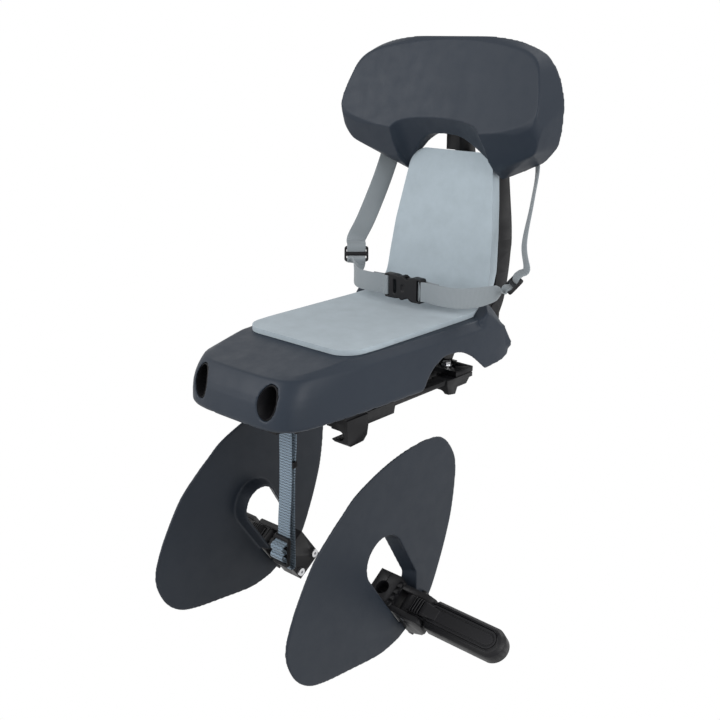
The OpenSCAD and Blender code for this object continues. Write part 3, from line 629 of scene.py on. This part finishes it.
def add_seat_shell():
    arch = [(0, SKIRT_Z - 40), (0, SKIRT_Z + 4)]
    arch += smooth([(6, SKIRT_Z + 15), (15.5, SKIRT_Z + 25), (27, SKIRT_Z + 33), (36.5, SKIRT_Z + 36),
                    (52, SKIRT_Z + 36), (66, SKIRT_Z + 33.5), (80, SKIRT_Z + 27), (93, SKIRT_Z + 18),
                    (108, SKIRT_Z + 6), (113, SKIRT_Z + 2)], 6)
    arch += smooth([(131, SKIRT_Z + 4), (150, SKIRT_Z + 7), (163, SKIRT_Z + 12), (REAR + 1, SKIRT_Z + 20),
                    (REAR + 20, SKIRT_Z + 22)], 4)
    arch += [(REAR + 20, SKIRT_Z - 40)]
    hollow = cut(shell_form(WALL), well_tool(1, WALL, WELL_FLOOR + WALL),
                 well_tool(-1, WALL, WELL_FLOOR + WALL))
    body = cut(shell_form(0), hollow, well_tool(1, 0, WELL_FLOOR), well_tool(-1, 0, WELL_FLOOR),
               prism(arch, 60, 140, along_x), prism(arch, -140, -60, along_x))
    tail = [(113, SKIRT_Z - 40), (113, SKIRT_Z + 2), (131, SKIRT_Z + 4), (150, SKIRT_Z + 7),
            (163, SKIRT_Z + 12),
            (REAR + 1, SKIRT_Z + 20), (REAR + 20, SKIRT_Z + 22), (REAR + 20, SKIRT_Z - 40)]
    cut(body, prism(tail, -90, 90, along_x),
        prism([(117, DECK_Z - 46), (217, DECK_Z - 46), (217, 200), (117, 200)], -PAD_HALF, PAD_HALF, along_x))
    lobe = smooth([(120, 108), (131, 95), (142, 81.5), (152, 68.5), (160, 57), (165.5, 47), (167, 40),
                   (165, 34),
                   (161, 31.5)], 5) + [(161, 10), (230, 10), (230, 125), (120, 125)]
    cut(body, prism(lobe, 84, 140, along_x), prism(lobe, -140, -84, along_x))
    for x in (-24, 24):
        for y in (-62, 62):
            union(body, prism(arc(x, y, 7, 0, 352.5, 47), 12, DECK_Z - 1.5, along_z))
    melt(body, 1.5, 3, 0.4)
    return as_piece(body, "seat_moulding", "shell", "seat", ["seat_shell"])


# Headrest

HEAD_BASE, HEAD_Z, HEAD_WALL, SCOOP_R = 79.0, 40.0, 3.0, 840.0
FACE_HALF = smooth([(0, 161, 319.5), (50, 160.5, 319.4), (86.8, 159, 318), (113, 153.6, 313.2),
                    (132, 146.6, 300.8),
                    (141, 137, 280), (147.5, 127, 254), (146.5, 125.3, 241), (143, 125, 233),
                    (132, 126, 227.5),
                    (115, 127, 223), (92, 128.5, 220.5), (66, 130.5, 219)], 8)
CHIN_HALF = smooth([(151, 134, 231), (147.5, 133, 218), (141, 138, 204), (132, 141, 198), (118, 144, 193),
                    (104, 147, 188.5), (92, 150, 183.5), (80, 158, 175)], 8)
BACK_HALF = smooth([(0, 168.7, 329.8), (50, 168.6, 329.5), (97, 167.8, 323), (128, 167, 312),
                    (141, 167.5, 300),
                    (149.5, 169, 284), (155, 171, 260), (154, 173, 238), (151, 175, 220), (146, 176, 206),
                    (130, 177, 189), (116, 178, 182), (92, 178, 171), (72, 177, 163)], 8)
ARCH_FACE = [(0, 281), (39, 277), (55, 271), (64, 262), (69, 250), (71, 150)]
ARCH_BACK = smooth([(0, 152, 254), (22, 153, 252), (36, 156, 245), (47, 160, 236), (62, 168, 220),
                    (71, 175, 204)], 6)
ARCH_BACK = ARCH_BACK + [(72, 177, 150)]


def head_ring(half, inset, back=0.0):
    ring = []
    for x, y, z in half:
        px = max(0, x - inset)
        pz = HEAD_BASE + z + (-inset if z > 235 else inset)
        ring += [(px, y + back, pz), (-px, y + back, pz)]
    return ring


def head_form(inset, back):
    chin = head_ring(CHIN_HALF, 3 * inset, 2 * inset)
    return hull_of(head_ring(FACE_HALF, 2 * inset, 1.5 * inset) + chin + head_ring(BACK_HALF, inset, back))


def arch_tools(grow):
    def pair(points):
        return [(s * (x + grow), y, z + HEAD_Z + (grow if z > 160 else 0)) for x, y,
                z in points for s in (-1, 1)]
    face = pair([(x, 120, z + 12) for x, z in smooth(ARCH_FACE[:5], 6) + ARCH_FACE[5:]])
    back = pair(ARCH_BACK)
    far = pair([(x, 184, z) for x, y, z in ARCH_BACK])
    return hull_of(face + back), hull_of(back + far)


def scoop_tool(back):
    """The hollow across the face: a slice of a large cylinder that leans back."""
    lean = math.radians(-17.5)
    outline = [(SCOOP_R * math.sin(math.radians(a)), SCOOP_R * math.cos(math.radians(a))) for a in
               [-13 + 26 * i / 80 for i in range(81)]] + [(230, 600), (-230, 600)]

    def place(a, b, c):
        y, z = b - SCOOP_R, c
        return (a, 136.5 + back + y * math.cos(lean) - z * math.sin(lean),
                316 + y * math.sin(lean) + z * math.cos(lean))
    return prism(outline, -260, 260, place)


def add_headrest():
    inner = cut(head_form(HEAD_WALL, 12), *arch_tools(HEAD_WALL), scoop_tool(HEAD_WALL))
    body = cut(head_form(0, 0), inner)
    for x in (-40, 40):
        for z in (338, 366):
            union(body, prism(arc(x, z, 6, 0, 352.5, 47), 150, 175.5, along_y))
    cut(body, *arch_tools(0), scoop_tool(0))
    cut(body, prism([(-10.3, 280), (10.3, 280), (10.3, 326), (-10.3, 326)], 166, 206, along_y))
    melt(body, 1.3, 2, 0.45)
    return as_piece(body, "headrest_moulding", "shell", "backrest", ["headrest_shell"])


# Spoke guards

STAY_TILT = math.radians(35.0)
FOOT = Vector((0.0, -45.0, -222.0))
GUARD_X, GUARD_T, GUARD_FLANGE = 112.0, 3.0, 18.5
LEAF = [(6, -30), (26, -39), (42, -60), (47, -80), (45, -112), (38, -148), (22, -192), (2, -232), (-20, -250),
        (-47, -264), (-60, -269), (-90, -273), (-137, -268), (-180, -262), (-204, -254), (-222, -238),
        (-233, -215),
        (-235, -195), (-229, -174), (-216, -147), (-193, -111), (-168, -87.5), (-149, -72.5), (-125, -55.5),
        (-79, -38),
        (-33, -29.5)]


def on_stay(x, t, s):
    """A point in the stay's frame: x outwards, t across the stay, s up along it."""
    return Vector((x, FOOT.y + t * math.cos(STAY_TILT) - s * math.sin(STAY_TILT),
                   FOOT.z + t * math.sin(STAY_TILT) + s * math.cos(STAY_TILT)))


def smooth_loop(points, steps):
    n = len(points)
    wrapped = [points[-2], points[-1]] + list(points) + [points[0], points[1]]
    return smooth(wrapped, steps)[2 * steps:(n + 2) * steps]


def opening(grow):
    return arc(10, 76, 30 + grow, 0, 180, 36) + [(-21 - grow, 30), (-21 - grow, -17 - grow),
                                                 (14 + grow, -17 - grow),
                                           (34 + grow, 14)]


def opening_plug(x0, x1, grow0, grow1):
    return hull_of([on_stay(x0, t, s) for t, s in opening(grow0)] + [on_stay(x1, t, s) for t,
                                                                     s in opening(grow1)])


def stay_box(x0, x1, t0, t1, s0, s1):
    return hull_of([on_stay(x, t, s) for x in (x0, x1) for t in (t0, t1) for s in (s0, s1)])


def add_guard(side, sign):
    inner = GUARD_X - GUARD_T
    flange = cut(opening_plug(GUARD_X - GUARD_FLANGE, GUARD_X - 0.5, -3, 2.5),
                 stay_box(0, inner, -90, 17, -90, 15), stay_box(0, inner, -90, 90, -90, -16))
    body = union(prism(smooth_loop(LEAF, 8), inner, GUARD_X, along_x), flange)
    cut(body, opening_plug(GUARD_X - GUARD_FLANGE - 1, inner, -6, 0),
        opening_plug(inner - 0.01, GUARD_X + 1, 0, 0))
    melt(body, 1.2, 5, 0.55)
    if sign < 0:
        body.data.transform(Matrix.Diagonal((-1, 1, 1, 1)))
        body.data.flip_normals()
    return as_piece(body, "guard_leaf_" + side, "guard", "seat", ["spoke_guard_" + side])


# Black liners in the wells of the nose: painted shade, dark sheets that stand for the shade deep inside the
# wells

def nose_y(x, z):
    """The front face's place behind a point of the nose."""
    marks = [(SKIRT_Z, 1.0)] + PROFILE + [(CREASE_Z, 0.0)]
    low = 0.0
    for (z0, k0), (z1, k1) in zip(marks, marks[1:]):
        if z0 <= z <= z1:
            low = k0 + (k1 - k0) * (z - z0) / (z1 - z0)
    i = min(range(len(PLAN_TOP)),
            key=lambda k: abs(PLAN_TOP[k][0] - abs(x)) if PLAN_TOP[k][1] < -100 else 999)
    return PLAN_TOP[i][1] * (1 - low) + PLAN_LOW[i][1] * low


# Painted shade: a black liner just inside the well's wall and floor, darker than the shell, standing for the
# shade in the recess.
def add_well_shade_liner(side, s):
    steps = 48
    rings = [(-0.4, None, WELL_FLOOR + 1), (-0.4, 1.6, 0), (-1.5, 0.9, 0), (-2.4, None, WELL_FLOOR - 5),
             (-4.0, None, WELL_FLOOR - 1.2), (-10.5, None, WELL_FLOOR - 0.8)]
    verts, faces = [], []
    for grow, lip, y in rings:
        for i in range(steps):
            t = 2 * math.pi * i / steps
            x = s * WELL_X + (WELL_RX + grow) * math.cos(t) + s * 0.8 * math.sin(t)
            z = WELL_Z + (WELL_RZ + grow) * math.sin(t)
            verts.append((x, y if lip is None else nose_y(x, z) + lip, z))
    for r in range(len(rings) - 1):
        for i in range(steps):
            j = (i + 1) % steps
            faces.append((r * steps + i, r * steps + j, (r + 1) * steps + j, (r + 1) * steps + i))
    faces.append(tuple(range(steps - 1, -1, -1)))
    last = (len(rings) - 1) * steps
    faces.append(tuple(range(last, last + steps)))
    # This black sheet is painted shade laid into the well, not a separate part of the seat.
    shade_liner = raw_object(verts, faces)
    return as_piece(shade_liner, "well_shade_liner_" + side, "black", "seat", angle=40.0)


# Harness

GLIDE_AT = Vector((125, 130, 130))
TURN, LIFT = math.radians(42), math.radians(47)
ALONG = Vector((math.cos(TURN), -math.sin(TURN), 0))
UP = Vector((math.sin(TURN) * math.cos(LIFT), math.cos(TURN) * math.cos(LIFT), math.sin(LIFT)))
OUT = ALONG.cross(UP)
WEB_W, WEB_T = 25.0, 1.5
BUCKLE_AT = Vector((3, 78, 115))
BUCKLE_LEN = 58.0


def flip(point, sign):
    return Vector((sign * point[0], point[1], point[2]))


def in_glide(v, n, u=0.0):
    """A point in the glide's own frame: v up the strap, n out of its face, u along its bars."""
    return GLIDE_AT + UP * v + OUT * n + ALONG * u


def add_shoulder_strap(side, s):
    path = [(56, 182, 352), (80, 185.5, 330), (102, 188, 298), (114, 187, 262), (119, 172, 222),
            (125, 150, 176),
            in_glide(24, 1.6), in_glide(15, 2.4), in_glide(9.5, 3.0), in_glide(5, 0.4), in_glide(1, -2.9)]
    across = [(0.74, -0.2, 0.6)] + [(0.62, -0.68, 0.38)] * 4 + [(0.68, -0.68, 0.2)] + [ALONG] * 5
    obj = ribbon("shoulder_webbing_" + side, [flip(p, s) for p in path], [flip(a, s) for a in across],
                 WEB_W, WEB_T,
                 "webbing", None, ["shoulder_strap_" + side], steps=7)
    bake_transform(obj)


def lap_path(s):
    """From the glide's middle bar, in a bow to the buckle's end bar, round it and back behind itself."""
    end = s * BUCKLE_AT.x + BUCKLE_LEN / 2
    y, z = BUCKLE_AT.y, BUCKLE_AT.z
    return [in_glide(-1, -2.9), in_glide(-5, 0.4), in_glide(-9.5, 3.0), in_glide(-15, 2.0), (111, 115, 119),
            (98, 97, 115.5), (80, 83, 113.5), (58, 77, 114), (end + 7, y - 2.2, z), (end - 0.5, y - 4.6, z),
            (end - 4.0, y - 3.6, z), (end - 4.8, y, z), (end - 4.0, y + 3.6, z), (end - 0.5, y + 4.9, z),
            (end + 8, y + 2.2, z), (end + 22, y + 1.2, z)]


def add_lap_strap(side, s):
    path = lap_path(s)
    across = [ALONG] * 3 + [(0.75, -0.6, 0.2), (0.35, -0.2, 0.9), (0, 0, 1), (0, 0.1, 1),
                            (0, 0.1, 1)] + [(0, 0, 1)] * 8
    obj = ribbon("lap_webbing_" + side, [flip(p, s) for p in path], [flip(a, s) for a in across],
                 WEB_W - 0.6, WEB_T,
                 "webbing", "seat", ["lap_strap_" + side], steps=6)
    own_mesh(obj)


def add_glide(side, s):
    """A three-bar slide where the shoulder and lap webbing meet."""
    half_w, half_l = WEB_W / 2 + 3.6, 11.5
    corners = []
    for cx, cy, start in ((half_w - 4, half_l - 4, 0), (-half_w + 4, half_l - 4, 90),
                          (-half_w + 4, -half_l + 4, 180),
                          (half_w - 4, -half_l + 4, 270)):
        corners += arc(cx, cy, 4, start, start + 90, 6)

    def place(a, b, c):
        return flip(in_glide(b, c, a), s)
    body = prism(corners, -1.9, 1.9, place)
    for v0, v1 in ((2.4, 7.6), (-7.6, -2.4)):
        slot = [(-WEB_W / 2 - 0.7, v0), (WEB_W / 2 + 0.7, v0), (WEB_W / 2 + 0.7, v1), (-WEB_W / 2 - 0.7, v1)]
        cut(body, prism(slot, -5, 5, place))
    melt(body, 0.55, 3)
    obj = as_piece(body, "web_slide_" + side, "black", "seat", ["glide_" + side])
    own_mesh(obj)


def buckle_place(a, b, c):
    return (BUCKLE_AT.x + a, BUCKLE_AT.y + c, BUCKLE_AT.z + b)


def rounded(x0, x1, z0, z1, r):
    return (arc(x1 - r, z1 - r, r, 0, 90, 5) + arc(x0 + r, z1 - r, r, 90, 180, 5) + arc(x0 + r, z0 + r, r,
            180, 270, 5)
            + arc(x1 - r, z0 + r, r, 270, 360, 5))


def add_buckle():
    end = BUCKLE_LEN / 2
    mouth = end - 34
    socket = prism(smooth_loop([(mouth, 13), (mouth + 5, 15.2), (mouth + 12, 11.4), (mouth + 19, 15),
                                (end - 6, 15),
                                (end, 13.6), (end, 0), (end, -13.6), (end - 6, -15), (mouth + 19, -15),
                                (mouth + 12, -11.4), (mouth + 5, -15.2), (mouth, -13), (mouth - 0.6, 0)], 5),
                   -5.4, 5.4, buckle_place)
    cut(socket, prism(rounded(mouth - 6, mouth + 24, -11.6, 11.6, 1.0), -3.2, 3.2, buckle_place))
    cut(socket, prism(rounded(end - 6.6, end - 3.2, -13, 13, 1.2), -9, 9, buckle_place))
    cut(socket, prism(rounded(mouth + 7, mouth + 17, 9.5, 20, 2.5), -3.2, 3.2, buckle_place))
    cut(socket, prism(rounded(mouth + 7, mouth + 17, -20, -9.5, 2.5), -3.2, 3.2, buckle_place))
    cut(socket, prism(rounded(mouth + 3, mouth + 8, -4.5, 4.5, 2.2), -9, -4.4, buckle_place))
    melt(socket, 0.55, 3)
    socket = as_piece(socket, "buckle_socket_body", "black", "seat", ["buckle_socket"])
    joint = mouth - 0.3
    plug = prism(smooth_loop([(-end, 13.4), (-end + 5, 15), (joint - 7, 15), (joint - 2, 14), (joint, 12.6),
                              (joint, 0),
                              (joint, -12.6), (joint - 2, -14), (joint - 7, -15), (-end + 5, -15),
                              (-end, -13.4),
                              (-end, 0)], 5), -4.2, 4.2, buckle_place)
    cut(plug, prism(rounded(-end + 3.2, -end + 6.6, -13, 13, 1.2), -9, 9, buckle_place))
    cut(plug, prism(rounded(joint - 10, joint - 5, -9, 9, 2.2), -9, 9, buckle_place))
    for s in (-1, 1):
        prong = smooth([(joint - 3, 11.2), (joint + 5, 10.6), (joint + 9, 11.8), (joint + 13, 13.4),
                        (joint + 17, 12.6),
                        (joint + 21, 8.6), (joint + 20, 7.0), (joint + 12, 7.2), (joint + 5, 7.0),
                        (joint - 3, 7.4)], 4)
        union(plug, prism([(x, s * z) for x, z in prong], -2.7, 2.7, buckle_place))
    union(plug, prism(rounded(joint - 3, joint + 18, -2.2, 2.2, 1.5), -2.7, 2.7, buckle_place))
    melt(plug, 0.55, 3)
    plug = as_piece(plug, "buckle_plug_body", "black", "seat", ["buckle_plug"])
    for obj in (socket, plug):
        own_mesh(obj)


# Safety strap and its ladder buckle

TETHER_Y, LADDER_Z = -124.0, -160.0
TETHER_W = 20.0


def ladder(z, n):
    """A point at height z on the ladder buckle, n in front of its middle."""
    lean = math.radians(-4)
    return (0, TETHER_Y - 11 - n * math.cos(lean) - z * math.sin(lean),
            LADDER_Z - n * math.sin(lean) + z * math.cos(lean))


def add_safety_strap():
    path = [(0, TETHER_Y - 0.3, 2.6), (0, TETHER_Y - 0.6, -30), (0, TETHER_Y - 1.4, -65),
            (0, TETHER_Y - 3.2, -98),
            (0, TETHER_Y - 5.6, -124), ladder(20, -3.4), ladder(14.8, -3.2), ladder(10.6, 1.4),
            ladder(8.8, 6),
            ladder(5.2, 8.2), ladder(1.5, 6.2), ladder(0, 2.4), ladder(-1.5, 6.2), ladder(-5.2, 8.2),
            ladder(-8.8, 6), ladder(-11, 1.4), ladder(-15, -3.2), ladder(-20, -4.8),
            (0, TETHER_Y - 4.2, -184.5),
            (0, TETHER_Y + 0.6, -182), (0, TETHER_Y + 1.2, -165), (0, TETHER_Y + 1.6, -120),
            (0, TETHER_Y + 3.4, -66),
            (0, TETHER_Y + 6.6, -30), (0, TETHER_Y + 7.8, 2.6)]
    ribbon("safety_webbing", path, [(1, 0, 0)] * len(path), TETHER_W, 1.6, "tether", "seat",
           ["safety_strap"], steps=8)

    def place(a, b, c):
        return (a, ladder(b, c)[1], ladder(b, c)[2])
    frame_body = prism(rounded(-12.7, 12.7, -18, 18, 3.0), -2.2, 2.2, place)
    for z0, z1 in ((6, 13.5), (-3.4, 3.4), (-14.2, -6)):
        cut(frame_body, prism(rounded(-10.5, 10.5, z0, z1, 1.2), -6, 6, place))
    melt(frame_body, 0.6, 3)
    as_piece(frame_body, "ladder_buckle", "black", "seat", ["safety_buckle"])
    tab = prism(rounded(9.3, 12.0, -57, -49, 1.2), TETHER_Y - 1.0, TETHER_Y + 5.6, along_y)
    melt(tab, 0.5, 3)
    as_piece(tab, "strap_keeper", "black", "seat")


# Footrests

PIVOT_X, BRACKET_C, BRACKET_TOP = 121.0, -2.0, 10.0
ARM_END = PIVOT_X + 134.0
ARM_HALF = 18.0


def tread_outline(grow):
    half = [(126 - grow, 8 + grow), (148, 8 + grow), (158, 11 + grow)]
    tip = arc(ARM_END - ARM_HALF - 3, 0, 11 + grow, -85, 85, 20)
    return [(x, -t) for x, t in half] + tip + [(x, t) for x, t in reversed(half)]


def add_footrest_top(side, s):
    """The rubber tread in its recess, and the ribbed cover over the hinge end of the arm."""
    def place(a, b, c):
        return flip(on_stay(a, b + BRACKET_C, c), s)
    tread = prism(tread_outline(0), BRACKET_TOP - 2.3, BRACKET_TOP - 0.1, place)
    groove = tread_outline(-2.6)
    inner = prism(groove, BRACKET_TOP - 1.3, BRACKET_TOP + 2, place)
    core = prism(tread_outline(-4.2), BRACKET_TOP - 1.2, BRACKET_TOP + 3, place)
    cut(inner, core)
    cut(tread, inner)
    melt(tread, 0.5, 2)
    as_piece(tread, "footrest_tread_" + side, "tread", "footrest_" + side, ["tread_" + side])
    cover = hull_of([place(x, t, c) for x, half, top in ((128.5, 9.6, 10.6), (131, 9.8, 13.4),
                                                         (150, 8.6, 12.6), (166, 6.5, 10.1))
                     for t in (-half, half) for c in (9.2, top)]
                    + [place(x, t, c) for x, half, top in ((130, 7.2, 12.4), (133, 7.4, 15.0),
                                                           (149, 6.4, 13.9))
                       for t in (-half, half) for c in (9.2, top)])
    for k in range(4):
        x = 133.5 + 3.4 * k
        cut(cover, prism([(x, 10), (x + 1.5, 10), (x + 1.5, 20), (x, 20)], -20, 20, lambda a, b,
                         c: place(a, c, b)))
    melt(cover, 0.5, 3)
    as_piece(cover, "hinge_cover_" + side, "black", "footrest_" + side)


# Foam pad: one piece over the seat and the backrest

PAD_TOP_Z = 92.2
PAD_PATH = [(-110, PAD_TOP_Z), (-60, PAD_TOP_Z), (0, PAD_TOP_Z), (60, PAD_TOP_Z), (96, PAD_TOP_Z + 0.2),
            (112.3, PAD_TOP_Z + 1.0),
            (121, PAD_TOP_Z + 3), (130, PAD_TOP_Z + 7.6), (137, PAD_TOP_Z + 14.5), (142.5, PAD_TOP_Z + 24),
            (147, PAD_TOP_Z + 48), (153, PAD_TOP_Z + 88), (159.5, PAD_TOP_Z + 123), (165.5, PAD_TOP_Z + 158),
            (170.5, PAD_TOP_Z + 180.8)]


def pad_half_width(y, z):
    if z < PAD_TOP_Z + 1.5:
        return PAD_HALF if y > -60 else PAD_HALF - 4.5 * ((-60 - y) / 50) ** 1.5
    marks = [(PAD_TOP_Z + 1.5, PAD_HALF), (PAD_TOP_Z + 18, 81.5), (PAD_TOP_Z + 48, 80.0),
             (PAD_TOP_Z + 90, 76.0), (PAD_TOP_Z + 126, 70.5),
             (PAD_TOP_Z + 155, 65.5), (PAD_TOP_Z + 181, 62.0)]
    for (z0, w0), (z1, w1) in zip(marks, marks[1:]):
        if z <= z1:
            return w0 + (w1 - w0) * (z - z0) / (z1 - z0)
    return marks[-1][1]


def corner(distance, radius):
    if distance >= radius:
        return 0.0
    d = max(0.0, distance)
    return radius - math.sqrt(max(0.0, radius * radius - (radius - d) ** 2))


def add_pad():
    path = spline([(0, y, z) for y, z in PAD_PATH], 10)
    lengths = [0.0]
    for a, b in zip(path, path[1:]):
        lengths.append(lengths[-1] + (b - a).length)
    total = lengths[-1]
    ends = [0.0, 0.6, 2.0, 4.0, 7.0, 11.0, 16.0]
    rings = ends + [16.0 + (total - 32.0) * i / 90 for i in range(1,
                                                                  90)] + [total - e for e in reversed(ends)]

    def at(s):
        k = max(i for i in range(len(lengths)) if lengths[i] <= s + 1e-9)
        k = min(k, len(lengths) - 2)
        f = (s - lengths[k]) / (lengths[k + 1] - lengths[k])
        return path[k].lerp(path[k + 1], f), (path[k + 1] - path[k]).normalized()

    cols = 28
    top, under = [], []
    for s in rings:
        p, tangent = at(s)
        normal = Vector((0, -tangent.z, tangent.y))
        w = pad_half_width(p.y, p.z) - corner(s, 24.0) - corner(total - s, 22.0)
        lift = max(0.0, min(1.0, (p.z - PAD_TOP_Z - 2) / 40))
        thick = 6.0 + 8.4 * lift
        row_top, row_under = [], []
        for c in range(cols + 1):
            x = -1 + 2 * c / cols
            x = math.copysign(1 - (1 - abs(x)) ** 1.3, x)
            dish = -1.2 * (1 - x * x) * lift
            row_top.append((p + Vector((x * w, 0, 0)) + normal * dish) * MM)
            row_under.append((p + Vector((x * w, 0, 0)) - normal * thick) * MM)
        top.append(row_top)
        under.append(row_under)
    verts, faces = [], []
    rows = len(rings)
    width = cols + 1
    for grid in (top, under):
        for row in grid:
            verts.extend(row)
    base = rows * width
    for i in range(rows - 1):
        for c in range(cols):
            a = i * width + c
            faces.append((a, a + 1, a + width + 1, a + width))
            faces.append((base + a, base + a + width, base + a + width + 1, base + a + 1))
    rim = list(range(width)) + [i * width + cols for i in range(1, rows)]
    rim += [(rows - 1) * width + c for c in range(cols - 1, -1, -1)] + [i * width for i in range(rows - 2,
            0, -1)]
    for a, b in zip(rim, rim[1:] + rim[:1]):
        faces.append((a, base + a, base + b, b))
    obj = new_object("pad", verts, faces, "pad", None)
    bevel = obj.modifiers.new("bevel", "BEVEL")
    bevel.width = 2.6 * MM
    bevel.segments = 4
    bevel.limit_method = "ANGLE"
    bevel.angle_limit = math.radians(50)
    apply_modifiers(obj)
    shade(obj, 50.0)
    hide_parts("seat_pad", "pad_bend", "back_pad")
    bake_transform(obj)
    return obj


# Everything together

add_camera()
add_world()
add_floor()
add_lamp("key", (-0.9, -1.9, 1.0), (0, 0, 0.05), 1.5, 34.0)
add_lamp("fill", (2.1, -0.3, 0.7), (0, 0, 0.05), 1.2, 25.0)
add_lamp("back", (0.3, 1.8, 1.6), (0, 0, 0.1), 1.4, 20.0)

add_pad()
for name, width in (("carrier_frame", 0.8), ("back_frame", 1.5), ("clamp_rail_right", 1.0),
                    ("clamp_rail_left", 1.0),
                    ("footrest_bracket_right", 0.8), ("footrest_bracket_left", 0.8),
                    ("stay_clamp_right", 1.0),
                    ("stay_clamp_left", 1.0), ("footrest_arm_right", 1.0), ("footrest_arm_left", 1.0)):
    soften(name, width)
add_seat_shell()
add_headrest()
for side_name, side_sign in (("right", 1), ("left", -1)):
    add_guard(side_name, side_sign)
    add_well_shade_liner(side_name, side_sign)
    add_shoulder_strap(side_name, side_sign)
    add_lap_strap(side_name, side_sign)
    add_glide(side_name, side_sign)
    add_footrest_top(side_name, side_sign)
add_buckle()
add_safety_strap()

scene = bpy.context.scene
scene.view_settings.view_transform = "Standard"
